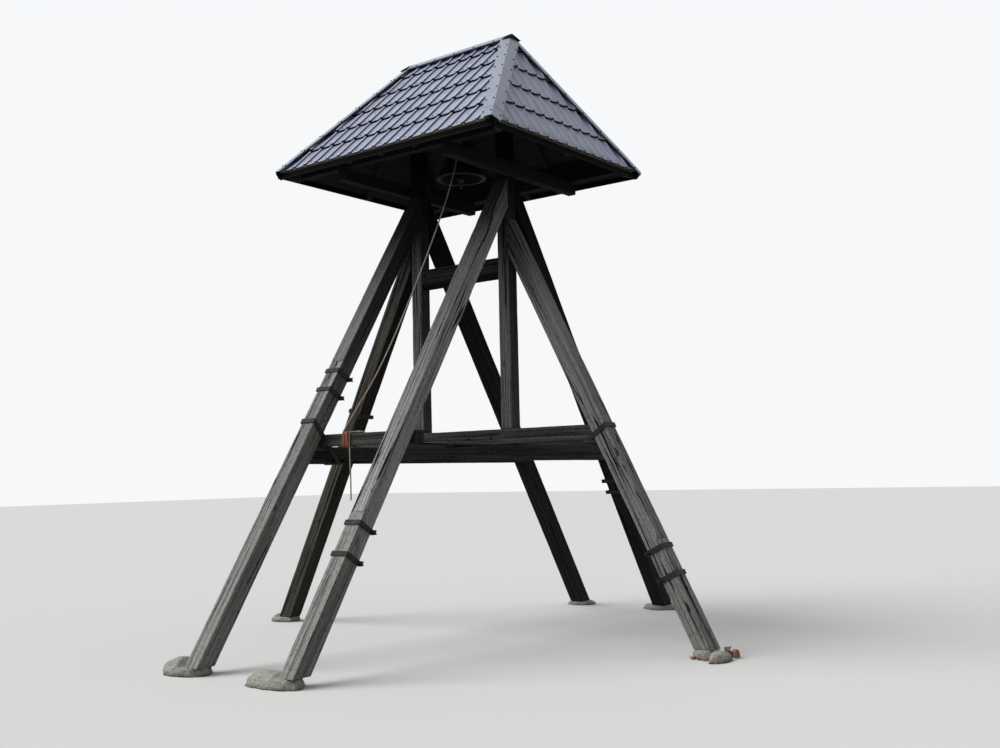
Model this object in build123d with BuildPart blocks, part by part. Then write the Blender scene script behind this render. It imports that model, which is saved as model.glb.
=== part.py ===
from build123d import *
import os
from math import atan, atan2, ceil, cos, hypot, pi, sin, tan

# Open timber bell frame: two posts, each stayed by two side legs and one outer leg,
# a ring of tie beams at door height and a hipped sheet roof over the bell.
# X runs along the ridge, -Y is the side with the bell rope, Z is up.
# The origin is on the ground, midway between the posts.

# Posts and legs
post_offset = 658
post_width = 156
leg_width = 186
side_leg_reach = 3320
side_apex_below_eave = 271
outer_leg_reach = 2399
outer_apex_below_eave = 738
scarf_nib = 30

# Scarfs that join a renewed leg foot to the old timber, as heights of their two ends
front_left_scarf = (2380, 3080)
front_right_scarf = (1050, 1470)
outer_right_scarf = (740, 1120)

# Iron bands round the legs, as heights on the leg's centre line
strap_width = 50
strap_thickness = 10
strap_ear = 36
front_left_straps = (2760, 2970)
front_right_straps = (1090, 1370)
outer_right_straps = (780, 1050)
outer_left_straps = (2640,)
back_right_straps = (1640, 1780)

# Iron stirrups from a leg's outer face down round the tie that butts on it: height above the ring
# on that face, and distance from the leg's inner face to the place under the tie
front_left_stirrup = (275, 428)
outer_right_stirrup = (160, 108)
stirrup_clearance = 2

# Ring of tie beams
ring_height = 2180
side_tie_width = 180
side_tie_depth = 185
front_tie_width = 130
front_tie_depth = 130
back_tie_width = 130
back_tie_depth = 115
centre_tie_width = 150
centre_tie_depth = 172
centre_tie_shift = 18
tie_leg_gap = 14

# Cross-piece between the posts
cross_piece_top = 4310
cross_piece_depth = 235
cross_piece_chamfer = 45

# Roof outline, measured on the crests of the tile-effect sheet
eave_half_length = 1600
eave_half_width = 1455
ridge_half_length = 792
eave_height = 5436
roof_rise = 1470
course_length = 360
course_step = 16
sheet_depth = 42
board_thickness = 22
rafter_depth = 80
rafter_width = 60
rafter_spacing = 480
hip_rafter_width = 50
eaves_board_setback = 34
eaves_board_thickness = 25
eaves_board_drop = 92
cap_wing = 120
cap_thickness = 5
cap_clearance = 1
ridge_cap_end = 90

# Roof bearers and plates
bearer_width = 100
bearer_depth = 140
bearer_leg_gap = 15
plate_offset = 1090
plate_width = 100
ridge_board_thickness = 40
ridge_board_depth = 170
ridge_board_end_gap = 30

# Bell
bell_axis_above_eave = 494
bell_mouth_radius = 300
bell_height = 480
bell_crown_radius = 160
bell_waist_radius = 204
bell_waist_height = 190
bell_shoulder = 40
inner_crown_radius = 110
bell_lip_thickness = 44
bell_lip_bevel = 10
bell_wall = 26
crown_thickness = 30
bead_radius = 5
bead_places = (0.16, 0.23, 0.72, 0.78, 0.96)
canon_height = 62
canon_radius = 14
canon_reach = 95
canon_bend = 24
argent_radius = 26
argent_gap = 0.3
headstock_half_length = 470
headstock_width = 140
headstock_depth = 180
headstock_below_axis = 50
headstock_end_chamfer = 40
gudgeon_radius = 18
gudgeon_end_gap = 10
gudgeon_plate_size = 110
gudgeon_plate_thickness = 10
bearing_clearance = 1
bearing_depth = 60
bearing_wall = 30
bearing_drop = 85
bearing_flange_thickness = 12
bearing_flange_width = 130
bearing_flange_height = 230
hanger_radius = 8
hanger_hole_clearance = 1
hanger_thread = 14
hanger_nut_radius = 15
hanger_nut_height = 12
hanger_plate_margin = 18
hanger_plate_thickness = 8
hoop_width = 40
hoop_thickness = 7
hoop_end_distance = 30
lever_position = 345
lever_reach = 345
lever_drop = 70
lever_thickness = 16
lever_height = 46
lever_foot = 90
lever_eye_radius = 12
lever_foot_plate = 60
lever_foot_thickness = 10

# Clapper
clapper_pin_radius = 8
clapper_pin_drop = 55
clapper_eye_clearance = 1
clapper_eye_wall = 9
clapper_eye_width = 20
clapper_lug_gap = 3
clapper_lug_width = 12
clapper_lug_radius = 20
clapper_rod_radius = 11
clapper_ball_radius = 38
clapper_ball_drop = 400
clapper_tail = 62
clapper_tail_radius = 16

# Bell rope
rope_radius = 8
rope_foot_position = -280
rope_foot_inset = 2
rope_sag = 140
rope_bend_share = 0.9
rope_coil_position = -225
rope_coil_length = 170
rope_bight_reach = 120
rope_bight_width = 90
rope_bight_radius = 40
rope_tail_position = -172
rope_tail_length = 560
rope_gap = 0.3

# Field stones under the feet: length along X, width along Y, height, shift of centre
stone_front_left = (430, 420, 80, -60, -13)
stone_front_right = (560, 460, 95, -90, 8)
stone_outer_right = (460, 420, 85, 27, -10)
stone_outer_left = (420, 400, 60, -60, 0)
stone_back_left = (420, 400, 50, 0, 30)
stone_back_right = (500, 420, 60, -20, 20)
stone_taper = 22
stone_edge = 14
stone_edge_taper = 50
stone_corners = 9
stone_unevenness = 0.07

os.makedirs("parts", exist_ok=True)


def save(part, name):
    part.label = name
    export_step(part, f"parts/{name}.step")


# Vertical planes that hold the legs: local x points outwards from the post, local y up
def side_plane(x, sign):
    return Plane(origin=(x, 0, 0), x_dir=(0, sign, 0), z_dir=(sign, 0, 0))


def outer_plane(sign):
    return Plane(origin=(sign * post_offset, 0, 0), x_dir=(sign, 0, 0), z_dir=(0, -sign, 0))


# A leg's centre line runs from (reach, 0) up to (0, apex) in its plane
def leg_point(leg, along, across):
    reach, apex = leg
    length = hypot(reach, apex)
    out, rise = reach / length, apex / length
    return (reach - along * out + across * rise, along * rise + across * out)


def leg_along(leg, height, across=0):
    reach, apex = leg
    length = hypot(reach, apex)
    return (height - across * reach / length) * length / apex


def leg_at_height(leg, height, across):
    return leg_point(leg, leg_along(leg, height, across), across)


def leg_at_distance(leg, distance, across):
    reach, apex = leg
    length = hypot(reach, apex)
    along = (reach + across * apex / length - distance) * length / reach
    return leg_point(leg, along, across)


side_leg = (side_leg_reach, eave_height - side_apex_below_eave)
outer_leg = (outer_leg_reach, eave_height - outer_apex_below_eave)
half_leg = leg_width / 2
half_post = post_width / 2
side_tie_bottom = ring_height - side_tie_depth


def leg_foot(leg, height):
    return [leg_at_height(leg, height, -half_leg), leg_at_height(leg, height, half_leg)]


def leg_head(leg):
    return [leg_at_distance(leg, half_post, half_leg), leg_at_distance(leg, half_post, -half_leg)]


def scarf_line(leg, ends):
    low = leg_along(leg, ends[0])
    high = leg_along(leg, ends[1])
    return [
        leg_point(leg, high, half_leg),
        leg_point(leg, high, half_leg - scarf_nib),
        leg_point(leg, low, scarf_nib - half_leg),
        leg_point(leg, low, -half_leg),
    ]


def timber_from_outline(plane, outline, width):
    with BuildPart() as timber:
        with BuildSketch(plane):
            Polygon(*outline, align=None)
        extrude(amount=width / 2, both=True)
    return timber.part


def whole_leg(plane, leg, foot_height):
    return timber_from_outline(plane, leg_foot(leg, foot_height) + leg_head(leg), leg_width)


def lower_leg(plane, leg, foot_height, scarf):
    return timber_from_outline(plane, leg_foot(leg, foot_height) + scarf_line(leg, scarf), leg_width)


def upper_leg(plane, leg, scarf):
    return timber_from_outline(plane, scarf_line(leg, scarf)[::-1] + leg_head(leg), leg_width)


# Posts: from the centre ties up to the ridge board
front_angle = atan(roof_rise / eave_half_width)
end_angle = atan(roof_rise / (eave_half_length - ridge_half_length))
board_bottom = sheet_depth + board_thickness
rafter_bottom = board_bottom + rafter_depth
ridge_board_top = (
    eave_height
    + (eave_half_width - ridge_board_thickness / 2) * tan(front_angle)
    - board_bottom / cos(front_angle)
)
post_top = ridge_board_top - ridge_board_depth
centre_tie_top = ring_height + centre_tie_depth
for side, name in ((-1, "post_left"), (1, "post_right")):
    with BuildPart() as post:
        with BuildSketch(Plane.XY.offset(centre_tie_top)):
            with Locations((side * post_offset, 0)):
                Rectangle(post_width, post_width)
        extrude(amount=post_top - centre_tie_top)
    save(post.part, name)

# Legs: the front ones and the right outer one have a renewed foot on a long scarf
front_left_plane = side_plane(-post_offset, -1)
front_right_plane = side_plane(post_offset, -1)
back_left_plane = side_plane(-post_offset, 1)
back_right_plane = side_plane(post_offset, 1)

save(upper_leg(front_left_plane, side_leg, front_left_scarf), "leg_front_left_upper")
save(lower_leg(front_left_plane, side_leg, stone_front_left[2], front_left_scarf), "leg_front_left_lower")
save(upper_leg(front_right_plane, side_leg, front_right_scarf), "leg_front_right_upper")
save(lower_leg(front_right_plane, side_leg, stone_front_right[2], front_right_scarf), "leg_front_right_lower")
save(upper_leg(outer_plane(1), outer_leg, outer_right_scarf), "leg_outer_right_upper")
save(lower_leg(outer_plane(1), outer_leg, stone_outer_right[2], outer_right_scarf), "leg_outer_right_lower")
save(whole_leg(outer_plane(-1), outer_leg, stone_outer_left[2]), "leg_outer_left")
save(whole_leg(back_left_plane, side_leg, stone_back_left[2]), "leg_back_left")
save(whole_leg(back_right_plane, side_leg, stone_back_right[2]), "leg_back_right")


# Iron bands: square to the leg, bolted to a back bar whose ears stand out at both sides
def band_plane(plane, leg, height):
    reach, apex = leg
    centre = leg_at_height(leg, height, 0)
    axis = plane.x_dir * (-reach) + plane.z_dir.cross(plane.x_dir) * apex
    origin = plane.from_local_coords((centre[0], centre[1], 0))
    return Plane(origin=origin, x_dir=plane.z_dir, z_dir=axis.normalized())


# Side view of a stirrup: from the leg's outer face down to the underside of the tie,
# lengthened at both ends by the wrap and widened by the margin
def stirrup_outline(leg, stirrup, tie_bottom, wrap=0, margin=0):
    reach, apex = leg
    rise, foot_distance = stirrup
    up_leg = Vector(-reach, apex).normalized()
    outwards = Vector(apex, reach).normalized()
    top = Vector(*leg_at_height(leg, ring_height + rise, half_leg))
    foot = Vector(leg_at_height(leg, tie_bottom, -half_leg)[0] - foot_distance, tie_bottom)
    run = (foot - top).normalized()
    across = Vector(-run.Y, run.X)
    top = top + run * (wrap / run.dot(outwards))
    foot = foot - run * (wrap / run.Y)
    half_width = strap_width / 2 + margin
    top_step = up_leg * (half_width / up_leg.dot(across))
    foot_step = Vector(half_width / across.X, 0)
    return [top + top_step, top - top_step, foot - foot_step, foot + foot_step]


strap_sets = (
    (front_left_plane, side_leg, front_left_straps),
    (front_right_plane, side_leg, front_right_straps),
    (outer_plane(1), outer_leg, outer_right_straps),
    (outer_plane(-1), outer_leg, outer_left_straps),
    (back_right_plane, side_leg, back_right_straps),
)
stirrup_sets = (
    (front_left_plane, side_leg, front_left_stirrup, side_tie_bottom),
    (outer_plane(1), outer_leg, outer_right_stirrup, ring_height),
)
band_width = leg_width + 2 * strap_thickness
with BuildPart() as leg_straps:
    for plane, leg, heights in strap_sets:
        for height in heights:
            with BuildSketch(band_plane(plane, leg, height)):
                Rectangle(band_width, band_width)
                with Locations((0, -half_leg - strap_thickness / 2)):
                    Rectangle(band_width + 2 * strap_ear, strap_thickness)
                Rectangle(leg_width, leg_width, mode=Mode.SUBTRACT)
            extrude(amount=strap_width / 2, both=True)
    for plane, leg, stirrup, tie_bottom in stirrup_sets:
        with BuildPart(mode=Mode.PRIVATE) as leg_stirrup:
            with BuildSketch(plane):
                Polygon(*stirrup_outline(leg, stirrup, tie_bottom, wrap=strap_thickness), align=None)
            extrude(amount=band_width / 2, both=True)
            with BuildSketch(plane):
                Polygon(*stirrup_outline(leg, stirrup, tie_bottom, margin=strap_width), align=None)
            extrude(amount=half_leg, both=True, mode=Mode.SUBTRACT)
        add(leg_stirrup.part)
save(leg_straps.part, "leg_straps")

# Side ties: between the front and back legs of one post, butted on the legs' inner faces
bottom_reach = leg_at_height(side_leg, side_tie_bottom, -half_leg)[0]
top_reach = leg_at_height(side_leg, ring_height, -half_leg)[0]
side_tie_outline = [
    (-bottom_reach, side_tie_bottom),
    (bottom_reach, side_tie_bottom),
    (top_reach, ring_height),
    (-top_reach, ring_height),
]
save(timber_from_outline(back_left_plane, side_tie_outline, side_tie_width), "side_tie_left")
save(timber_from_outline(back_right_plane, side_tie_outline, side_tie_width), "side_tie_right")

# Front and back ties: laid across the side ties, just inside the legs
tie_half_length = post_offset + side_tie_width / 2
front_tie_outer = leg_at_height(side_leg, ring_height + front_tie_depth, -half_leg)[0] - tie_leg_gap
back_tie_outer = leg_at_height(side_leg, ring_height + back_tie_depth, -half_leg)[0] - tie_leg_gap
notch_outline = stirrup_outline(side_leg, front_left_stirrup, side_tie_bottom, margin=stirrup_clearance)
with BuildPart() as front_tie:
    with BuildSketch(Plane.XY.offset(ring_height)):
        with Locations((0, front_tie_width / 2 - front_tie_outer)):
            Rectangle(2 * tie_half_length, front_tie_width)
    extrude(amount=front_tie_depth)
    # Slot for the stirrup, whose strip crosses the tie's outer corner
    with BuildSketch(front_left_plane.offset(stirrup_clearance - half_leg)):
        Polygon(*notch_outline, align=None)
    extrude(amount=-strap_thickness - 2 * stirrup_clearance, mode=Mode.SUBTRACT)
save(front_tie.part, "front_tie")

with BuildPart() as back_tie:
    with BuildSketch(Plane.XY.offset(ring_height)):
        with Locations((0, back_tie_outer - back_tie_width / 2)):
            Rectangle(2 * tie_half_length, back_tie_width)
    extrude(amount=back_tie_depth)
save(back_tie.part, "back_tie")

# Centre ties: from outer leg to outer leg under the post feet, joined beside the right post
centre_bottom_reach = post_offset + leg_at_height(outer_leg, ring_height, -half_leg)[0]
centre_top_reach = post_offset + leg_at_height(outer_leg, centre_tie_top, -half_leg)[0]
centre_joint = post_offset - half_post
centre_left_outline = [
    (-centre_bottom_reach, ring_height),
    (centre_joint, ring_height),
    (centre_joint, centre_tie_top),
    (-centre_top_reach, centre_tie_top),
]
centre_right_outline = [
    (centre_joint, ring_height),
    (centre_bottom_reach, ring_height),
    (centre_top_reach, centre_tie_top),
    (centre_joint, centre_tie_top),
]
ridge_plane = Plane(origin=(0, 0, 0), x_dir=(1, 0, 0), z_dir=(0, -1, 0))
proud_plane = ridge_plane.offset(centre_tie_shift)
save(timber_from_outline(ridge_plane, centre_left_outline, centre_tie_width), "centre_tie_left")
save(timber_from_outline(proud_plane, centre_right_outline, centre_tie_width), "centre_tie_right")

# Cross-piece between the posts, chamfered along its lower edges
with BuildPart() as cross_piece:
    with BuildSketch(Plane.YZ.offset(half_post - post_offset)):
        with Locations((0, cross_piece_top - cross_piece_depth / 2)):
            Rectangle(post_width, cross_piece_depth)
    extrude(amount=2 * (post_offset - half_post))
    lower_edges = cross_piece.edges().filter_by(Axis.X).group_by(Axis.Z)[0]
    chamfer(lower_edges, length=cross_piece_chamfer)
save(cross_piece.part, "cross_piece")

# Roof: planes square to each eave, local x runs inwards from the eave and local y up
end_run = eave_half_length - ridge_half_length
slope_planes = {
    "front": Plane(origin=(0, -eave_half_width, 0), x_dir=(0, 1, 0), z_dir=(1, 0, 0)),
    "back": Plane(origin=(0, eave_half_width, 0), x_dir=(0, -1, 0), z_dir=(-1, 0, 0)),
    "right": Plane(origin=(eave_half_length, 0, 0), x_dir=(-1, 0, 0), z_dir=(0, 1, 0)),
    "left": Plane(origin=(-eave_half_length, 0, 0), x_dir=(1, 0, 0), z_dir=(0, -1, 0)),
}
slope_runs = {"front": eave_half_width, "back": eave_half_width, "right": end_run, "left": end_run}
slope_half_lengths = {
    "front": eave_half_length,
    "back": eave_half_length,
    "right": eave_half_width,
    "left": eave_half_width,
}


# Height of the surface that lies a given depth square below the crests
def slope_height(side, inwards, depth):
    angle = atan(roof_rise / slope_runs[side])
    return eave_height + inwards * tan(angle) - depth / cos(angle)


def below_slope(side, depth):
    plane = slope_planes[side]
    angle = atan(roof_rise / slope_runs[side])
    up = Vector(0, 0, 1)
    normal = up * cos(angle) - plane.x_dir * sin(angle)
    point = plane.origin + up * (eave_height - depth / cos(angle))
    return Plane(origin=point, x_dir=plane.z_dir, z_dir=normal)


# Upright planes along the hips, each with its normal pointing to the long side
def hip_plane(x_sign, y_sign):
    corner = Vector(x_sign * eave_half_length, y_sign * eave_half_width, 0)
    along = Vector(-x_sign * end_run, -y_sign * eave_half_width, 0).normalized()
    normal = Vector(-x_sign * eave_half_width, y_sign * end_run, 0).normalized()
    return Plane(origin=corner, x_dir=along, z_dir=normal)


def trim_to_slope(side):
    if side in ("front", "back"):
        y_sign = -1 if side == "front" else 1
        split(bisect_by=hip_plane(1, y_sign), keep=Keep.TOP)
        split(bisect_by=hip_plane(-1, y_sign), keep=Keep.TOP)
        split(bisect_by=Plane(origin=(0, 0, 0), z_dir=(0, y_sign, 0)), keep=Keep.TOP)
    else:
        x_sign = -1 if side == "left" else 1
        split(bisect_by=hip_plane(x_sign, 1), keep=Keep.BOTTOM)
        split(bisect_by=hip_plane(x_sign, -1), keep=Keep.BOTTOM)


# Tile-effect sheet: every course starts on the crest plane and dips by one step
def sheet_outline(side):
    run = slope_runs[side]
    angle = atan(roof_rise / run)
    slope_length = hypot(run, roof_rise)
    points = [(0, sheet_depth), (0, 0)]
    courses = ceil(slope_length / course_length)
    for course in range(1, courses):
        points.append((course * course_length, course_step))
        points.append((course * course_length, 0))
    last = slope_length - (courses - 1) * course_length
    points.append((slope_length, course_step * last / course_length))
    points.append((slope_length, sheet_depth))
    return [
        (s * cos(angle) + d * sin(angle), eave_height + s * sin(angle) - d * cos(angle))
        for s, d in points
    ]


for side in slope_planes:
    with BuildPart() as roof_sheet:
        with BuildSketch(slope_planes[side]):
            Polygon(*sheet_outline(side), align=None)
        extrude(amount=slope_half_lengths[side], both=True)
        trim_to_slope(side)
    save(roof_sheet.part, f"roof_sheet_{side}")


# Roof boards with the rafters under them and the eaves board at their foot
def boards_outline(side):
    outer = eaves_board_setback
    inner = outer + eaves_board_thickness
    run = slope_runs[side]
    bottom = eave_height - eaves_board_drop
    return [
        (outer, bottom),
        (outer, slope_height(side, outer, sheet_depth)),
        (run, slope_height(side, run, sheet_depth)),
        (run, slope_height(side, run, board_bottom)),
        (inner, slope_height(side, inner, board_bottom)),
        (inner, bottom),
    ]


def rafter_outline(side, stop):
    inner = eaves_board_setback + eaves_board_thickness
    foot = eave_height - eaves_board_drop
    slope = roof_rise / slope_runs[side]
    return [
        (inner, slope_height(side, inner, board_bottom)),
        (stop, slope_height(side, stop, board_bottom)),
        (stop, slope_height(side, stop, rafter_bottom)),
        ((foot - slope_height(side, 0, rafter_bottom)) / slope, foot),
        (inner, foot),
    ]


for side in ("front", "back"):
    with BuildPart() as roof_boards:
        with BuildSketch(slope_planes[side]):
            Polygon(*boards_outline(side), align=None)
        extrude(amount=slope_half_lengths[side], both=True)
        trim_to_slope(side)
        stop = slope_runs[side] - ridge_board_thickness / 2
        for place in (-rafter_spacing, 0, rafter_spacing):
            with BuildSketch(slope_planes[side].offset(place)):
                Polygon(*rafter_outline(side, stop), align=None)
            extrude(amount=rafter_width / 2, both=True)
    save(roof_boards.part, f"roof_boards_{side}")

hip_length = hypot(end_run, eave_half_width)
hip_shift = hip_rafter_width * hip_length / eave_half_width
for side, x_sign in (("left", -1), ("right", 1)):
    inner_apex = x_sign * (ridge_half_length + hip_shift)
    inner_eave = x_sign * (eave_half_length + hip_shift)
    with BuildPart() as roof_boards:
        with BuildSketch(slope_planes[side]):
            Polygon(*rafter_outline(side, slope_runs[side]), align=None)
        extrude(amount=slope_half_lengths[side], both=True)
        with BuildSketch(Plane.XY.offset(eave_height - roof_rise)):
            Polygon(
                (inner_apex, 0),
                (inner_eave, -eave_half_width),
                (inner_eave, eave_half_width),
                align=None,
            )
        extrude(amount=3 * roof_rise, mode=Mode.SUBTRACT)
        with BuildSketch(slope_planes[side]):
            Polygon(*boards_outline(side), align=None)
        extrude(amount=slope_half_lengths[side], both=True)
        with BuildSketch(slope_planes[side]):
            Polygon(*rafter_outline(side, slope_runs[side]), align=None)
        extrude(amount=rafter_width / 2, both=True)
        trim_to_slope(side)
    save(roof_boards.part, f"roof_boards_{side}")

# Ridge board on the post heads
ridge_board_end = (
    eave_half_length
    - (ridge_board_top - slope_height("right", 0, board_bottom)) / tan(end_angle)
    - ridge_board_end_gap
)
with BuildPart() as ridge_board:
    with BuildSketch(Plane.XY.offset(post_top)):
        Rectangle(2 * ridge_board_end, ridge_board_thickness)
    extrude(amount=ridge_board_depth)
save(ridge_board.part, "ridge_board")

# Bearers on the posts' outer faces carry the two plates that the rafters rest on
bearer_offset = post_offset + half_post + bearer_width / 2
bearer_bottom = leg_at_distance(side_leg, half_post, half_leg)[1] + bearer_leg_gap
plate_bottom = bearer_bottom + bearer_depth
plate_outer = plate_offset + plate_width
with BuildPart() as bearers:
    with BuildSketch(Plane.XY.offset(bearer_bottom)):
        with Locations((-bearer_offset, 0), (bearer_offset, 0)):
            Rectangle(bearer_width, 2 * plate_outer)
    extrude(amount=bearer_depth)
save(bearers.part, "bearers")

plate_middle = plate_offset + plate_width / 2
with BuildPart() as plates:
    with BuildSketch(Plane.XY.offset(plate_bottom)):
        with Locations((0, -plate_middle), (0, plate_middle)):
            Rectangle(2 * eave_half_length, plate_width)
    extrude(amount=roof_rise / 2)
    for side in slope_planes:
        split(bisect_by=below_slope(side, rafter_bottom), keep=Keep.BOTTOM)
save(plates.part, "plates")

# Folded caps: two flat wings that lie on the crests each side of a hip or of the ridge
ridge_cap_half = ridge_half_length - ridge_cap_end


def slope_normal(side):
    return below_slope(side, 0).z_dir


def cap_section(plane, corner, wing_1, wing_2, normal_1, normal_2):
    spread = (normal_1 + normal_2) * (1 / (1 + normal_1.dot(normal_2)))
    under = corner + spread * cap_clearance
    top = corner + spread * (cap_clearance + cap_thickness)
    end_1 = under + wing_1 * cap_wing
    end_2 = under + wing_2 * cap_wing
    outline = [end_1, under, end_2, end_2 + normal_2 * cap_thickness, top, end_1 + normal_1 * cap_thickness]
    local = [plane.to_local_coords(point) for point in outline]
    return [(point.X, point.Y) for point in local]


with BuildPart() as hip_caps:
    for x_sign, end_side in ((-1, "left"), (1, "right")):
        for y_sign, long_side in ((-1, "front"), (1, "back")):
            corner = Vector(x_sign * eave_half_length, y_sign * eave_half_width, eave_height)
            apex = Vector(x_sign * ridge_half_length, 0, eave_height + roof_rise)
            along = (apex - corner).normalized()
            long_normal = slope_normal(long_side)
            end_normal = slope_normal(end_side)
            long_wing = along.cross(long_normal) * (x_sign * y_sign)
            end_wing = along.cross(end_normal) * (-x_sign * y_sign)
            cap_plane = Plane(origin=corner, x_dir=long_wing, z_dir=along)
            cap_points = cap_section(cap_plane, corner, long_wing, end_wing, long_normal, end_normal)
            with BuildPart(mode=Mode.PRIVATE) as hip_cap:
                with BuildSketch(cap_plane):
                    Polygon(*cap_points, align=None)
                extrude(amount=(apex - corner).length + cap_wing)
                end_cut = Plane(origin=(x_sign * ridge_cap_half, 0, 0), z_dir=(x_sign, 0, 0))
                split(bisect_by=end_cut, keep=Keep.TOP)
                split(bisect_by=Plane(origin=(0, 0, 0), z_dir=(0, y_sign, 0)), keep=Keep.TOP)
            add(hip_cap.part)
save(hip_caps.part, "hip_caps")

with BuildPart() as ridge_cap:
    ridge_centre = Vector(0, 0, eave_height + roof_rise)
    front_wing = slope_normal("front").cross(Vector(1, 0, 0))
    back_wing = Vector(1, 0, 0).cross(slope_normal("back"))
    front_wing = front_wing * (-1 if front_wing.Z > 0 else 1)
    back_wing = back_wing * (-1 if back_wing.Z > 0 else 1)
    ridge_section_plane = Plane(origin=ridge_centre, x_dir=(0, 1, 0), z_dir=(1, 0, 0))
    ridge_points = cap_section(
        ridge_section_plane, ridge_centre, front_wing, back_wing, slope_normal("front"), slope_normal("back")
    )
    with BuildSketch(ridge_section_plane):
        Polygon(*ridge_points, align=None)
    extrude(amount=ridge_cap_half, both=True)
save(ridge_cap.part, "ridge_cap")

# Bell: a turned bronze shell with moulded rings, a bevelled lip and two crossed canon loops
bell_axis_height = eave_height + bell_axis_above_eave
headstock_bottom = bell_axis_height - headstock_below_axis
bell_top = headstock_bottom - argent_gap - canon_height
bell_mouth = bell_top - bell_height
inner_crown = bell_top - crown_thickness
canon_line_height = bell_top + canon_height - canon_radius
canon_line_reach = canon_reach - canon_radius
with BuildPart() as bell:
    with BuildSketch(Plane.XZ):
        with BuildLine():
            outer_curve = Spline(
                (bell_mouth_radius, bell_mouth + bell_lip_bevel),
                (bell_waist_radius, bell_mouth + bell_waist_height),
                (bell_crown_radius, bell_top - bell_shoulder),
            )
            shoulder = RadiusArc(
                outer_curve @ 1, (bell_crown_radius - bell_shoulder, bell_top), -bell_shoulder
            )
            Polyline(shoulder @ 1, (0, bell_top), (0, inner_crown), (inner_crown_radius, inner_crown))
            inner_curve = Spline(
                (inner_crown_radius, inner_crown),
                (bell_waist_radius - bell_wall, bell_mouth + bell_waist_height),
                (bell_mouth_radius - bell_lip_thickness, bell_mouth),
            )
            Polyline(inner_curve @ 1, (bell_mouth_radius - bell_lip_bevel, bell_mouth), outer_curve @ 0)
        make_face()
    revolve(axis=Axis.Z)
    for place in bead_places:
        with BuildSketch(Plane.XZ):
            with Locations(outer_curve @ place):
                Circle(bead_radius)
        revolve(axis=Axis.Z)
    for loop_plane in (Plane.XZ, Plane.YZ):
        with BuildLine(loop_plane) as canon_line:
            FilletPolyline(
                (-canon_line_reach, bell_top - canon_radius),
                (-canon_line_reach, canon_line_height),
                (canon_line_reach, canon_line_height),
                (canon_line_reach, bell_top - canon_radius),
                radius=canon_bend,
            )
        with BuildSketch(Plane(origin=canon_line.line @ 0, z_dir=canon_line.line % 0)):
            Circle(canon_radius)
        sweep()
    with BuildSketch(Plane.XY.offset(bell_top)):
        Circle(argent_radius)
    extrude(amount=canon_height)
    with BuildSketch(Plane.YZ):
        with Locations((0, inner_crown - clapper_pin_drop)):
            Circle(clapper_lug_radius)
        with Locations((0, inner_crown - clapper_pin_drop / 2)):
            Rectangle(2 * clapper_lug_radius, clapper_pin_drop)
    lug_inner = clapper_eye_width / 2 + clapper_lug_gap
    extrude(amount=lug_inner + clapper_lug_width, both=True)
    with BuildSketch(Plane.XY.offset(inner_crown)):
        Rectangle(2 * lug_inner, 3 * clapper_lug_radius)
    extrude(amount=-2 * clapper_pin_drop, mode=Mode.SUBTRACT)
    with BuildSketch(Plane.YZ):
        with Locations((0, inner_crown - clapper_pin_drop)):
            Circle(clapper_pin_radius)
    extrude(amount=lug_inner, both=True)
save(bell.part, "bell")

# Clapper: a forged rod with an eye round the pin, a ball and a tail
pin_height = inner_crown - clapper_pin_drop
eye_inner = clapper_pin_radius + clapper_eye_clearance
eye_outer = eye_inner + clapper_eye_wall
ball_height = pin_height - clapper_ball_drop
with BuildPart() as clapper:
    with BuildSketch(Plane.XY.offset(pin_height - eye_outer)):
        Circle(clapper_rod_radius)
    extrude(amount=ball_height - pin_height + eye_outer)
    with BuildSketch(Plane.YZ):
        with Locations((0, pin_height)):
            Circle(eye_outer)
        with Locations((0, pin_height - eye_outer)):
            Rectangle(2 * clapper_rod_radius, eye_outer)
        with Locations((0, pin_height)):
            Circle(eye_inner, mode=Mode.SUBTRACT)
    extrude(amount=clapper_eye_width / 2, both=True)
    with Locations((0, 0, ball_height)):
        Sphere(clapper_ball_radius)
    with BuildSketch(Plane.XY.offset(ball_height)):
        Circle(clapper_tail_radius)
    extrude(amount=-clapper_ball_radius - clapper_tail)
save(clapper.part, "clapper")

# Hangers: round irons bent under the canons, up through the headstock to nuts on one plate
hanger_offset = (argent_radius + canon_line_reach - canon_radius) / 2
hanger_bend = canon_radius + argent_gap + hanger_radius
headstock_top = headstock_bottom + headstock_depth
hanger_top = headstock_top + hanger_plate_thickness + hanger_nut_height + hanger_thread
hanger_feet = [
    (x_sign * x, y_sign * y)
    for x, y in ((hanger_offset, hanger_bend), (hanger_bend, hanger_offset))
    for x_sign in (-1, 1)
    for y_sign in (-1, 1)
]

# Headstock: an oak beam, bored for the hangers
with BuildPart() as headstock:
    with BuildSketch(Plane.XY.offset(headstock_bottom)):
        Rectangle(2 * headstock_half_length, headstock_width)
    extrude(amount=headstock_depth)
    chamfer(headstock.edges().filter_by(Axis.Y).group_by(Axis.Z)[-1], length=headstock_end_chamfer)
    with BuildSketch(Plane.XY.offset(headstock_bottom)):
        with Locations(*hanger_feet):
            Circle(hanger_radius + hanger_hole_clearance)
    extrude(amount=headstock_depth, mode=Mode.SUBTRACT)
save(headstock.part, "headstock")

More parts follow.
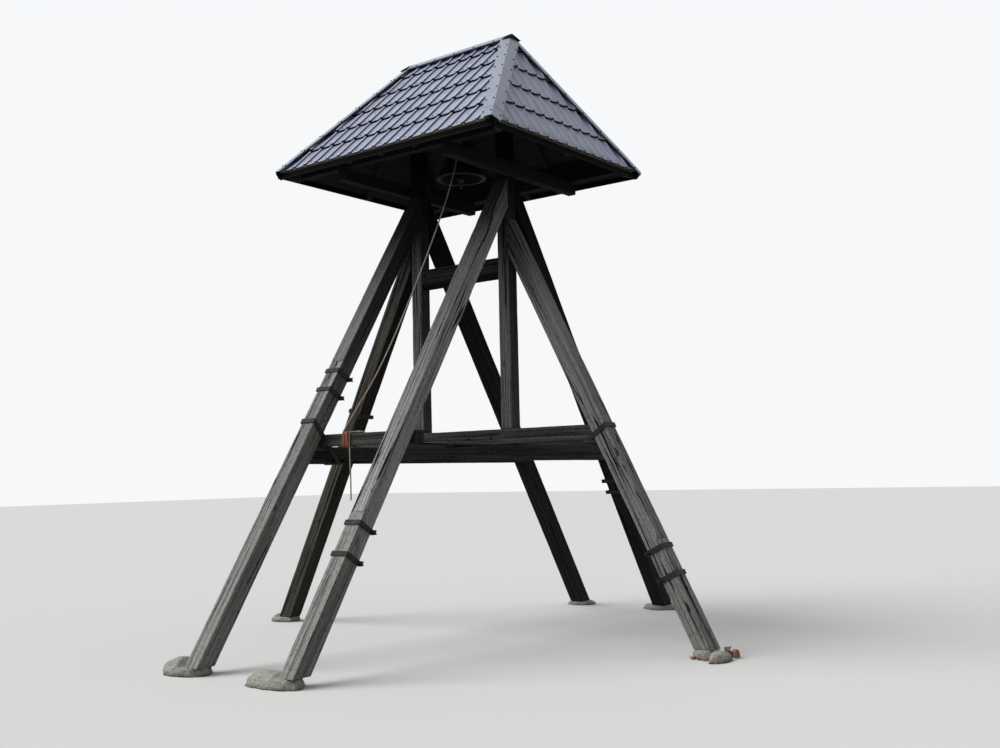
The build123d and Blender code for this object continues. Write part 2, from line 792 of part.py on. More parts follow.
# Irons on the headstock: the four hangers with their plate, and a hoop near each end
hanger_planes = [Plane.YZ.offset(hanger_offset), Plane.YZ.offset(-hanger_offset)]
hanger_planes += [Plane.XZ.offset(hanger_offset), Plane.XZ.offset(-hanger_offset)]
hoop_offset = headstock_half_length - headstock_end_chamfer - hoop_end_distance
plate_size = 2 * (hanger_offset + hanger_plate_margin)
with BuildPart() as bell_straps:
    for hanger_plane in hanger_planes:
        with BuildLine(hanger_plane) as hanger_line:
            Line((-hanger_bend, hanger_top), (-hanger_bend, canon_line_height))
            ThreePointArc(
                (-hanger_bend, canon_line_height),
                (0, canon_line_height - hanger_bend),
                (hanger_bend, canon_line_height),
            )
            Line((hanger_bend, canon_line_height), (hanger_bend, hanger_top))
        with BuildSketch(Plane(origin=hanger_line.line @ 0, z_dir=hanger_line.line % 0)):
            Circle(hanger_radius)
        sweep()
    with BuildSketch(Plane.XY.offset(headstock_top)):
        Rectangle(plate_size, plate_size)
    extrude(amount=hanger_plate_thickness)
    with BuildSketch(Plane.XY.offset(headstock_top + hanger_plate_thickness)):
        with Locations(*hanger_feet):
            RegularPolygon(radius=hanger_nut_radius, side_count=6)
    extrude(amount=hanger_nut_height)
    for x_sign in (-1, 1):
        with BuildSketch(Plane.YZ.offset(x_sign * hoop_offset)):
            with Locations((0, headstock_bottom + headstock_depth / 2)):
                Rectangle(headstock_width + 2 * hoop_thickness, headstock_depth + 2 * hoop_thickness)
                Rectangle(headstock_width, headstock_depth, mode=Mode.SUBTRACT)
        extrude(amount=hoop_width / 2, both=True)
save(bell_straps.part, "bell_straps")

# Gudgeons: an iron pin on a plate at each end of the headstock
gudgeon_end = post_offset - half_post - gudgeon_end_gap
with BuildPart() as gudgeons:
    for x_sign in (-1, 1):
        with BuildSketch(Plane.YZ.offset(x_sign * headstock_half_length)):
            with Locations((0, bell_axis_height)):
                Rectangle(gudgeon_plate_size, gudgeon_plate_size)
        extrude(amount=x_sign * gudgeon_plate_thickness)
        with BuildSketch(Plane.YZ.offset(x_sign * headstock_half_length)):
            with Locations((0, bell_axis_height)):
                Circle(gudgeon_radius)
        extrude(amount=x_sign * (gudgeon_end - headstock_half_length))
save(gudgeons.part, "gudgeons")

# Bearings: round-topped blocks on a flange against the posts' inner faces
bearing_radius = gudgeon_radius + bearing_clearance + bearing_wall
with BuildPart() as bearings:
    for x_sign in (-1, 1):
        post_face = Plane.YZ.offset(x_sign * (post_offset - half_post))
        with BuildSketch(post_face):
            with Locations((0, bell_axis_height - bearing_drop / 2)):
                Rectangle(bearing_flange_width, bearing_flange_height)
        extrude(amount=-x_sign * bearing_flange_thickness)
        with BuildSketch(post_face):
            with Locations((0, bell_axis_height)):
                Circle(bearing_radius)
            with Locations((0, bell_axis_height - bearing_drop / 2)):
                Rectangle(2 * bearing_radius, bearing_drop)
        extrude(amount=-x_sign * bearing_depth)
        with BuildSketch(post_face):
            with Locations((0, bell_axis_height)):
                Circle(gudgeon_radius + bearing_clearance)
        extrude(amount=-x_sign * bearing_depth, mode=Mode.SUBTRACT)
save(bearings.part, "bearings")

# Lever: an iron arm on a plate on the headstock's rope side, with an eye for the rope
lever_top = headstock_bottom + headstock_depth / 2
lever_eye_height = lever_top - lever_drop - lever_height / 2
with BuildPart() as bell_lever:
    with BuildSketch(Plane.XZ.offset(headstock_width / 2)):
        with Locations((lever_position, lever_top - lever_foot / 2)):
            Rectangle(lever_foot_plate, lever_foot + lever_foot_plate)
    extrude(amount=lever_foot_thickness)
    with BuildSketch(Plane.YZ.offset(lever_position)):
        Polygon(
            (-headstock_width / 2, lever_top),
            (-headstock_width / 2, lever_top - lever_foot),
            (-lever_reach, lever_eye_height - lever_height / 2),
            (-lever_reach, lever_eye_height + lever_height / 2),
            align=None,
        )
        with Locations((-lever_reach, lever_eye_height)):
            Circle(lever_height / 2)
            Circle(lever_eye_radius, mode=Mode.SUBTRACT)
    extrude(amount=lever_thickness / 2, both=True)
save(bell_lever.part, "bell_lever")

# Bell rope: from the lever it sags a little on its way down to its turns round the front tie,
# with a bight left on the tie's top and a hanging tail
rope_top = Vector(lever_position, -lever_reach, lever_eye_height - lever_height / 2 - rope_gap)
front_tie_middle = front_tie_outer - front_tie_width / 2
coil_top = ring_height + front_tie_depth + 2 * rope_radius
coil_bottom = ring_height - 2 * rope_radius
rope_foot = Vector(rope_foot_position, rope_foot_inset - front_tie_outer - rope_radius, coil_top + rope_gap)
rope_run = rope_foot - rope_top
rope_quarter = rope_run.length / 4
rope_end_rise = rope_radius * rope_sag / rope_quarter
rope_bend = rope_bend_share * rope_quarter / tan(atan(rope_sag / rope_quarter) / 2)
with BuildPart() as rope:
    with BuildLine(Plane(origin=rope_top, x_dir=rope_run, z_dir=Vector(0, 0, 1).cross(rope_run))) as hang:
        FilletPolyline(
            (-rope_radius, -rope_end_rise),
            (rope_quarter, rope_sag),
            (3 * rope_quarter, rope_sag),
            (4 * rope_quarter + rope_radius, -rope_end_rise),
            radius=rope_bend,
        )
    with BuildSketch(Plane(origin=hang.line @ 0, z_dir=hang.line % 0)):
        Circle(rope_radius)
    sweep()
    split(bisect_by=Plane.XY.offset(rope_top.Z), keep=Keep.BOTTOM)
    split(bisect_by=Plane.XY.offset(rope_foot.Z), keep=Keep.TOP)
save(rope.part, "rope")

with BuildPart() as rope_turns:
    with BuildSketch(Plane.YZ.offset(rope_coil_position)):
        with Locations((-front_tie_middle, ring_height + front_tie_depth / 2)):
            Rectangle(front_tie_width + 4 * rope_radius, front_tie_depth + 4 * rope_radius)
            Rectangle(front_tie_width, front_tie_depth, mode=Mode.SUBTRACT)
    extrude(amount=rope_coil_length / 2, both=True)
    coil_end = rope_coil_position + rope_coil_length / 2
    bight_front = -front_tie_middle - rope_bight_width / 2
    bight_back = -front_tie_middle + rope_bight_width / 2
    with BuildLine(Plane.XY.offset(ring_height + front_tie_depth + rope_radius + rope_gap)) as bight:
        FilletPolyline(
            (coil_end - rope_radius, bight_front),
            (coil_end + rope_bight_reach, bight_front),
            (coil_end + rope_bight_reach, bight_back),
            (coil_end - rope_radius, bight_back),
            radius=rope_bight_radius,
        )
    with BuildSketch(Plane(origin=bight.line @ 0, z_dir=bight.line % 0)):
        Circle(rope_radius)
    sweep()
save(rope_turns.part, "rope_turns")

with BuildPart() as rope_tail:
    with BuildSketch(Plane.XY.offset(coil_bottom - rope_gap)):
        with Locations((rope_tail_position, -front_tie_outer - rope_radius)):
            Circle(rope_radius)
    extrude(amount=-rope_tail_length)
save(rope_tail.part, "rope_tail")

# Field stones, flat under the foot and on the ground, with an uneven outline
outer_foot = post_offset + outer_leg_reach
stone_pairs = {
    "stones_front": (
        (-post_offset, -side_leg_reach, stone_front_left),
        (post_offset, -side_leg_reach, stone_front_right),
    ),
    "stones_outer": ((-outer_foot, 0, stone_outer_left), (outer_foot, 0, stone_outer_right)),
    "stones_back": (
        (-post_offset, side_leg_reach, stone_back_left),
        (post_offset, side_leg_reach, stone_back_right),
    ),
}


def stone_outline(length, width, lean):
    points = []
    for corner in range(stone_corners):
        turn = 2 * pi * corner / stone_corners
        bulge = 1 + stone_unevenness * cos(3 * turn + lean) + stone_unevenness * sin(2 * turn + 2 * lean)
        points.append((length / 2 * bulge * cos(turn), width / 2 * bulge * sin(turn)))
    return points


for name, pair in stone_pairs.items():
    with BuildPart() as stones:
        for x, y, (length, width, height, shift_x, shift_y) in pair:
            with BuildPart(mode=Mode.PRIVATE) as stone:
                with BuildSketch(Plane(origin=(x + shift_x, y + shift_y, 0))):
                    Polygon(*stone_outline(length, width, atan2(y, x)), align=None)
                extrude(amount=height - stone_edge, taper=stone_taper)
                extrude(stone.faces().sort_by(Axis.Z)[-1], amount=stone_edge, taper=stone_edge_taper)
            add(stone.part)
    save(stones.part, name)
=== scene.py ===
import math
import bmesh
import bpy
import numpy as np
from mathutils import Matrix, Vector, noise


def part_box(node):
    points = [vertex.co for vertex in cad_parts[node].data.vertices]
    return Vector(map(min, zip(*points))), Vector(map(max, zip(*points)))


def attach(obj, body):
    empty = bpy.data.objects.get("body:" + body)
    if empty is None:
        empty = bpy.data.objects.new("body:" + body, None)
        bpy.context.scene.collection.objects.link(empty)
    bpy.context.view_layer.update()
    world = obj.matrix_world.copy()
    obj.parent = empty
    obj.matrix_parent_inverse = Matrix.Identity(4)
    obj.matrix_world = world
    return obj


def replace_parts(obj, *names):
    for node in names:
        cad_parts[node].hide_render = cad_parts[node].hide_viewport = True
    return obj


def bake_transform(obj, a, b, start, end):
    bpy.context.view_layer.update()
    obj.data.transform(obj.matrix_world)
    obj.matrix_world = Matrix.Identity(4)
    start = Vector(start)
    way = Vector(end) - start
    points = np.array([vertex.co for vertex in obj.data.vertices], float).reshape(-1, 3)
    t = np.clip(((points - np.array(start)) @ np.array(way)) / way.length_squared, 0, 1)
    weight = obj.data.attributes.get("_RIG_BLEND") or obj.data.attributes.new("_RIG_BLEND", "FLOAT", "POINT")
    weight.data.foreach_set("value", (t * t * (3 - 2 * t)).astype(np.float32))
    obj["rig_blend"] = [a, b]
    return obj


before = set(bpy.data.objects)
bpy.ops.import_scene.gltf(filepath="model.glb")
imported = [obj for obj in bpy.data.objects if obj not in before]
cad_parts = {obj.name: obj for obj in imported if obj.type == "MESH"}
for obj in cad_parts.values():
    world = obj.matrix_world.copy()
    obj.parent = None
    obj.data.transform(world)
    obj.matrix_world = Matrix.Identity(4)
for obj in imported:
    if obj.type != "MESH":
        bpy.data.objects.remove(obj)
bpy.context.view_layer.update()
scene = bpy.context.scene

# View: the camera stands at eye height, off the corner between the rope's side and the right end.
# It looks up a little and leans by about a degree.
camera_place = Vector((8.335, -10.208, 1.833))
camera_heading = -0.6534
camera_pitch = 0.0892
camera_roll = -0.0224
camera_lens = 40.75

ahead = Vector((
    math.sin(camera_heading) * math.cos(camera_pitch),
    math.cos(camera_heading) * math.cos(camera_pitch),
    math.sin(camera_pitch),
))
level = Vector((math.cos(camera_heading), -math.sin(camera_heading), 0))
above = level.cross(ahead)
camera_right = level * math.cos(camera_roll) + above * math.sin(camera_roll)
camera_up = above * math.cos(camera_roll) - level * math.sin(camera_roll)
camera_data = bpy.data.cameras.new("camera")
camera_data.lens = camera_lens
camera_data.sensor_width = 36
camera_data.clip_end = 500
camera = bpy.data.objects.new("camera", camera_data)
scene.collection.objects.link(camera)
turn = Matrix((camera_right, camera_up, -ahead)).transposed()
camera.matrix_world = Matrix.Translation(camera_place) @ turn.to_4x4()
scene.camera = camera
scene.view_settings.view_transform = "Standard"

# Light: an even overcast sky, brighter overhead, and one broad soft lamp from the front left.
# The camera and reflections see a plain pale background in place of the sky.
sky_strength = 0.39
sky_below = (0.42, 0.42, 0.41)
sky_side = (0.80, 0.81, 0.82)
sky_top = (1.0, 1.0, 1.0)
background_colour = (0.93, 0.94, 0.95)
lamp_energy = 2.25
lamp_spread = math.radians(50)
lamp_tilt = math.radians(44)
lamp_heading = math.radians(-42)


def feed(tree, value, slot):
    """Gives a node's input its value, or links it to the socket that feeds it."""
    if isinstance(value, bpy.types.NodeSocket):
        tree.links.new(value, slot)
    elif slot.type == "RGBA":
        slot.default_value = (*value, 1)
    else:
        slot.default_value = value


def add_node(tree, kind, settings=None, **inputs):
    """A node with its settings, and a value or a feeding socket for each named input."""
    node = tree.nodes.new(kind)
    for name, choice in (settings or {}).items():
        setattr(node, name, choice)
    for name, value in inputs.items():
        feed(tree, value, node.inputs[name.replace("_", " ")])
    return node


def combined(tree, operation, first, second):
    """The result of one sum on two values, each a number or a socket."""
    node = add_node(tree, "ShaderNodeMath", {"operation": operation})
    feed(tree, first, node.inputs[0])
    feed(tree, second, node.inputs[1])
    return node.outputs[0]


def ramp(tree, source, *stops):
    """A colour ramp on a value, from (position, colour) stops, where one number is a grey."""
    node = tree.nodes.new("ShaderNodeValToRGB")
    elements = node.color_ramp.elements
    while len(elements) < len(stops):
        elements.new(0.5)
    for element, (position, colour) in zip(elements, stops):
        element.position = position
        element.color = (*colour, 1) if isinstance(colour, tuple) else (colour, colour, colour, 1)
    feed(tree, source, node.inputs[0])
    return node.outputs[0]


def seen_or_lighting(tree, seen, lighting, output):
    """Shows one shader to the camera, reflections and glass, and lights the rest with another."""
    path = tree.nodes.new("ShaderNodeLightPath").outputs
    straight = combined(tree, "MAXIMUM", path["Is Camera Ray"], path["Is Glossy Ray"])
    straight = combined(tree, "MAXIMUM", straight, path["Is Transmission Ray"])
    mix = tree.nodes.new("ShaderNodeMixShader")
    for slot, source in enumerate((straight, lighting.outputs[0], seen.outputs[0])):
        feed(tree, source, mix.inputs[slot])
    feed(tree, mix.outputs[0], output.inputs["Surface"])


world = bpy.data.worlds.new("overcast")
scene.world = world
world.use_nodes = True
sky = world.node_tree
sky.nodes.clear()
sky_place = sky.nodes.new("ShaderNodeTexCoord").outputs["Generated"]
sky_height = add_node(sky, "ShaderNodeSeparateXYZ", Vector=sky_place).outputs["Z"]
sky_range = add_node(sky, "ShaderNodeMapRange", Value=sky_height, From_Min=-1).outputs[0]
sky_colour = ramp(sky, sky_range, (0.45, sky_below), (0.55, sky_side), (1, sky_top))
sky_light = add_node(sky, "ShaderNodeBackground", Color=sky_colour, Strength=sky_strength)
sky_seen = add_node(sky, "ShaderNodeBackground", Color=background_colour)
seen_or_lighting(sky, sky_seen, sky_light, sky.nodes.new("ShaderNodeOutputWorld"))

lamp_data = bpy.data.lights.new("soft_sun", "SUN")
lamp_data.energy = lamp_energy
lamp_data.angle = lamp_spread
lamp = bpy.data.objects.new("soft_sun", lamp_data)
lamp.rotation_euler = (lamp_tilt, 0, lamp_heading)
scene.collection.objects.link(lamp)

# Floor: a plain pale studio floor that takes the shadows.
# The light that it throws back up is held down, so that undersides stay dark.
floor_reach = 90
floor_colour = (0.80, 0.80, 0.79)
floor_bounce = (0.12, 0.125, 0.11)


def new_material(name):
    """An empty material, with its node tree and its output node."""
    material = bpy.data.materials.new(name)
    material.use_nodes = True
    tree = material.node_tree
    tree.nodes.clear()
    return material, tree, tree.nodes.new("ShaderNodeOutputMaterial")


floor_mesh = bpy.data.meshes.new("floor")
floor_mesh.from_pydata(
    [(-floor_reach, -floor_reach, 0), (floor_reach, -floor_reach, 0),
     (floor_reach, floor_reach, 0), (-floor_reach, floor_reach, 0)],
    [],
    [(0, 1, 2, 3)],
)
floor = bpy.data.objects.new("floor", floor_mesh)
scene.collection.objects.link(floor)
floor_material, floor_tree, floor_output = new_material("floor")
floor_seen = add_node(floor_tree, "ShaderNodeBsdfDiffuse", Color=floor_colour)
floor_lighting = add_node(floor_tree, "ShaderNodeBsdfDiffuse", Color=floor_bounce)
seen_or_lighting(floor_tree, floor_seen, floor_lighting, floor_output)
floor.data.materials.append(floor_material)

# Timbers: squared oak, with arrises worn round by weather and drying checks along the grain.
# The feet and the lit legs have gone grey. Painted shade darkens the timbers towards the roof, on chosen
# faces and in darker copies of the oak; the darkest stand also for kept black tar.
arris_angle = 0.5
arris_radius = 0.007
arris_wander = 0.004
arris_chip = 0.007
arris_band = 0.020
chip_level = 0.35
shortest_arris = 0.06
section_spacing = 0.070
check_edge_gap = 0.034
check_room = 0.22
check_share = 0.45
check_swing = 1.9
check_waves = 0.8
check_fade = 0.25
check_wander = 0.004
check_bends = 1.7
closed_check = 0.0008
arris_waves = 3.1
chip_waves = 9
grain_shift = 3.7
same_way = 0.99
same_place = 1e-5
same_face = 1e-4
same_line = 5e-5
flat_within = math.radians(0.6)
smooth_within = math.radians(32)
# Painted shade with kept tar: chosen faces of each timber are marked and darkened, more so higher up.
shaded_side_normal = 0.6
shaded_top_normal = 0.15
shaded_under_normal = -0.25
shade_and_tar_heights = (1.5, 3.8)
shade_and_tar_share = 0.7
shade_and_tar_colour = (0.008, 0.009, 0.011)
roof_shade = (0.006, 0.006, 0.0065)
front_shaded_pieces = ("leg_front_right_upper",)


def object_place(tree):
    return tree.nodes.new("ShaderNodeTexCoord").outputs["Object"]


def attribute(tree, name, output="Fac"):
    return add_node(tree, "ShaderNodeAttribute", {"attribute_name": name}).outputs[output]


def stretched(tree, place, scale):
    return add_node(tree, "ShaderNodeMapping", Vector=place, Scale=scale).outputs[0]


def stretched_noise(tree, place, scale, detail=6, roughness=0.6, distortion=0.0):
    """Noise on coordinates scaled apart along their three directions."""
    return add_node(
        tree, "ShaderNodeTexNoise", Vector=stretched(tree, place, scale), Scale=1,
        Detail=detail, Roughness=roughness, Distortion=distortion,
    ).outputs["Fac"]


def blended(tree, factor, first, second, mode="MIX"):
    """Two colours mixed by a factor; either may be a plain colour or a socket."""
    node = add_node(tree, "ShaderNodeMix", {"data_type": "RGBA", "blend_type": mode})
    for value, slot in ((factor, 0), (first, 6), (second, 7)):
        feed(tree, value, node.inputs[slot])
    return node.outputs[2]


def product(tree, first, second):
    return combined(tree, "MULTIPLY", first, second)


def darker(colour, share):
    return tuple(share * value for value in colour)


def risen(tree, height, span):
    """A value that grows from 0 to 1 while a height passes through a span."""
    low, high = span
    return add_node(tree, "ShaderNodeMapRange", Value=height, From_Min=low, From_Max=high).outputs[0]


def finished(tree, output, colour, roughness, height, bump, specular, metallic=0.0):
    """The shader of a material: its colour and gloss, and its height as a bump."""
    bumped = add_node(tree, "ShaderNodeBump", Strength=1, Distance=bump, Height=height)
    shader = add_node(
        tree, "ShaderNodeBsdfPrincipled", Base_Color=colour, Roughness=roughness,
        Metallic=metallic, Specular_IOR_Level=specular, Normal=bumped.outputs[0],
    )
    feed(tree, shader.outputs[0], output.inputs["Surface"])


def timber_material(name, dark, middle, light, arris, moss, roof_shade_span, gloss, fine=0.50, shade=0.85):
    """Weathered timber: grain streaks, checks, speckles, knots and algae, with paler worn arrises. Painted
    shade darkens it towards the roof and on its marked faces, which also stand for kept tar.
    """
    material, tree, output = new_material(name)
    place = attribute(tree, "grain", "Vector")
    streak = stretched_noise(tree, place, (0.7, 62, 62), roughness=0.7, distortion=0.12)
    broad = stretched_noise(tree, place, (0.35, 11, 11), detail=4)
    fibre = stretched_noise(tree, place, (9, 260, 260), detail=3)
    growth = stretched_noise(tree, place, (1.6, 6, 6), detail=5, roughness=0.65)
    specks = stretched_noise(tree, place, (22, 120, 120), detail=4, roughness=0.7)
    parting = stretched_noise(tree, place, (0.6, 7, 7), detail=2)
    cells = add_node(
        tree, "ShaderNodeTexVoronoi", {"feature": "DISTANCE_TO_EDGE"},
        Vector=stretched(tree, place, (0.55, 27, 27)), Scale=1,
    )
    knots = add_node(tree, "ShaderNodeTexVoronoi", Vector=stretched(tree, place, (1.5, 5, 5)), Scale=1)
    tone = combined(tree, "ADD", product(tree, streak, 0.68), product(tree, broad, 0.32))
    colour = ramp(tree, tone, (0.36, dark), (0.49, middle), (0.61, light))
    colour = blended(tree, ramp(tree, growth, (0.5, 0), (0.72, 0.5)), colour, moss)
    worn = product(tree, attribute(tree, "wear"), ramp(tree, streak, (0.36, 0.3), (0.54, 1)))
    colour = blended(tree, worn, colour, arris)
    colour = blended(tree, product(tree, fibre, 0.5), colour, (0.5, 0.5, 0.5), mode="OVERLAY")
    speck = ramp(tree, specks, (0.55, 0), (0.63, 0.75))
    colour = blended(tree, speck, colour, darker(dark, 0.35))
    crack = product(tree, combined(tree, "SUBTRACT", parting, 1 - fine), 0.55)
    crack = product(tree, combined(tree, "SUBTRACT", crack, cells.outputs["Distance"]), 40)
    crack = add_node(tree, "ShaderNodeClamp", Value=crack).outputs[0]
    knot = ramp(tree, knots.outputs["Distance"], (0.04, 0.85), (0.11, 0))
    colour = blended(tree, knot, colour, darker(dark, 0.3))
    gap = combined(tree, "MAXIMUM", crack, attribute(tree, "check"))
    colour = blended(tree, gap, colour, darker(dark, 0.14))
    # Painted shade: the timber darkens towards the roof as it rises through the given span of heights.
    above_ground = add_node(tree, "ShaderNodeSeparateXYZ", Vector=object_place(tree)).outputs["Z"]
    under_roof = product(tree, risen(tree, above_ground, roof_shade_span), shade)
    colour = blended(tree, under_roof, colour, roof_shade)
    # Painted shade with kept tar on the marked faces, growing with height.
    shaded_and_tarred = product(tree, attribute(tree, "shade_and_tar"), risen(tree, above_ground, shade_and_tar_heights))
    colour = blended(tree, product(tree, shaded_and_tarred, shade_and_tar_share), colour, shade_and_tar_colour)
    relief = combined(tree, "ADD", product(tree, streak, 0.6), product(tree, fibre, 0.15))
    relief = combined(tree, "SUBTRACT", relief, product(tree, crack, 0.8))
    relief = combined(tree, "SUBTRACT", relief, product(tree, speck, 0.3))
    roughness = ramp(tree, broad, (0.3, 0.74), (0.7, 0.94))
    finished(tree, output, colour, roughness, relief, bump=0.006, specular=gloss)
    return material


grey_oak = timber_material(
    "grey_oak", dark=(0.016, 0.017, 0.018), middle=(0.050, 0.052, 0.051), light=(0.125, 0.126, 0.121),
    arris=(0.38, 0.38, 0.365), moss=(0.056, 0.060, 0.038), roof_shade_span=(4.1, 5.3), gloss=0.10, shade=0.5,
)
upper_oak = timber_material(
    "upper_oak", dark=(0.070, 0.072, 0.074), middle=(0.165, 0.168, 0.170), light=(0.260, 0.264, 0.264),
    arris=(0.50, 0.50, 0.49), moss=(0.115, 0.125, 0.090), roof_shade_span=(4.2, 5.3), gloss=0.12,
)
shaded_oak = timber_material(
    "shaded_oak", dark=(0.036, 0.037, 0.039), middle=(0.080, 0.082, 0.085), light=(0.132, 0.134, 0.136),
    arris=(0.34, 0.34, 0.33), moss=(0.058, 0.063, 0.046), roof_shade_span=(3.7, 5.0), gloss=0.12,
)
# A darker copy of the upper oak: painted shade on the left upper leg.
deep_shaded_oak = timber_material(
    "deep_shaded_oak", dark=(0.024, 0.025, 0.027), middle=(0.055, 0.057, 0.060),
    light=(0.096, 0.098, 0.100), arris=(0.28, 0.28, 0.27), moss=(0.045, 0.050, 0.038),
    roof_shade_span=(3.3, 4.8), gloss=0.08,
)
mossy_oak = timber_material(
    "mossy_oak", dark=(0.004, 0.004, 0.004), middle=(0.016, 0.015, 0.013), light=(0.048, 0.045, 0.037),
    arris=(0.12, 0.115, 0.10), moss=(0.020, 0.022, 0.012), roof_shade_span=(4.0, 5.2), gloss=0.02, fine=0.52,
)
tarred_oak = timber_material(
    "tarred_oak", dark=(0.006, 0.006, 0.0065), middle=(0.018, 0.019, 0.021),
    light=(0.052, 0.054, 0.060), arris=(0.19, 0.195, 0.205), moss=(0.020, 0.024, 0.018),
    roof_shade_span=(4.3, 5.2), gloss=0.04, shade=0.9,
)
# A darker copy of the tarred oak: painted shade over the tar of the back legs and the cross-piece.
tarred_oak_in_shade = timber_material(
    "tarred_oak_in_shade", dark=(0.003, 0.003, 0.0035), middle=(0.007, 0.0075, 0.008),
    light=(0.018, 0.019, 0.021), arris=(0.06, 0.062, 0.066), moss=(0.008, 0.010, 0.007),
    roof_shade_span=(4.3, 5.2), gloss=0.02, shade=0.9,
)
tie_oak = timber_material(
    "tie_oak", dark=(0.004, 0.0045, 0.0045), middle=(0.009, 0.010, 0.0105),
    light=(0.021, 0.0225, 0.0225), arris=(0.095, 0.095, 0.09), moss=(0.011, 0.014, 0.010),
    roof_shade_span=(4.3, 5.2), gloss=0.03, fine=0.48, shade=0.0,
)


def cut_through(work, point, normal, clear_outer=False):
    """Cuts a whole mesh along a plane, and may clear what lies beyond it."""
    everything = work.verts[:] + work.edges[:] + work.faces[:]
    bmesh.ops.bisect_plane(work, geom=everything, plane_co=point, plane_no=normal, clear_outer=clear_outer)


def marked_checks(work, ways, checks, width, depth, chance):
    marks = []
    for way, lateral in ways:
        face_at = max(vertex.co.dot(way) for vertex in work.verts)
        low = min(vertex.co.dot(lateral) for vertex in work.verts) + check_edge_gap
        high = max(vertex.co.dot(lateral) for vertex in work.verts) - check_edge_gap
        room = (high - low) / checks
        cuts = [low + arris_band - check_edge_gap, high - arris_band + check_edge_gap]
        for number in range(checks):
            middle = low + (number + 0.5 + 0.5 * (chance.random() - 0.5)) * room
            half_width = min(width * (0.4 + 0.6 * chance.random()), check_room * room)
            sink = depth * (0.4 + 0.6 * chance.random())
            marks.append((way, lateral, face_at, middle, half_width, sink, 10 * chance.random()))
            cuts += [middle - half_width, middle, middle + half_width]
        side = [face for face in work.faces if face.normal.dot(way) > same_way]
        for cut in cuts:
            parts = dict.fromkeys(side)
            for face in side:
                parts.update(dict.fromkeys(face.edges))
                parts.update(dict.fromkeys(face.verts))
            made = bmesh.ops.bisect_plane(work, geom=list(parts), plane_co=lateral * cut, plane_no=lateral)
            side = [part for part in made["geom"] if isinstance(part, bmesh.types.BMFace)]
    return marks


def opened_checks(work, marks, grain, seed):
    """Spreads the lips of each check and sinks its middle, as far as it is open there."""
    along = [vertex.co.dot(grain) for vertex in work.verts]
    start, end = min(along), max(along)
    cut = start + section_spacing
    while cut < end - section_spacing / 2:
        cut_through(work, grain * cut, grain)
        cut += section_spacing
    check_layer = work.verts.layers.float.new("check")
    vertices = work.verts[:]
    places = np.array([vertex.co for vertex in vertices])
    for way, lateral, face_at, middle, half_width, sink, phase in marks:
        on_face = np.abs(places @ np.array(way) - face_at) < same_face
        offset = places @ np.array(lateral) - middle
        for lip in (-1, 0, 1):
            on_line = np.abs(offset - lip * half_width) < same_line
            for index in np.nonzero(on_face & on_line)[0]:
                vertex = vertices[index]
                run = vertex.co.dot(grain)
                share = check_share + check_swing * noise.noise(Vector((run * check_waves, phase, seed)))
                near_end = min(1.0, (run - start) / check_fade, (end - run) / check_fade)
                share = min(1.0, max(0.0, share)) * near_end
                wander = check_wander * noise.noise(Vector((run * check_bends, seed, phase)))
                half_open = closed_check + (half_width - closed_check) * share
                vertex.co += lateral * (wander + lip * (half_open - half_width))
                if lip == 0:
                    vertex.co -= way * sink * share
                    vertex[check_layer] = share


def worn_arrises(work, grain, seed):
    """Draws the bevelled arrises in towards the timber's middle, unevenly and with chips."""
    worn_layer = work.verts.layers.float["wear"]
    centre = sum((vertex.co for vertex in work.verts), Vector()) / len(work.verts)
    for vertex in work.verts:
        if vertex[worn_layer] >= 0.5:
            place = vertex.co
            inwards = centre + grain * (place - centre).dot(grain) - place
            wander = 0.5 + 0.5 * noise.noise(place * arris_waves + Vector((seed, 0, 0)))
            chip = noise.noise(place * chip_waves + Vector((0, seed, 0))) - chip_level
            chip = max(0.0, chip) / (1 - chip_level)
            vertex.co = place + inwards.normalized() * (arris_wander * wander + arris_chip * chip)


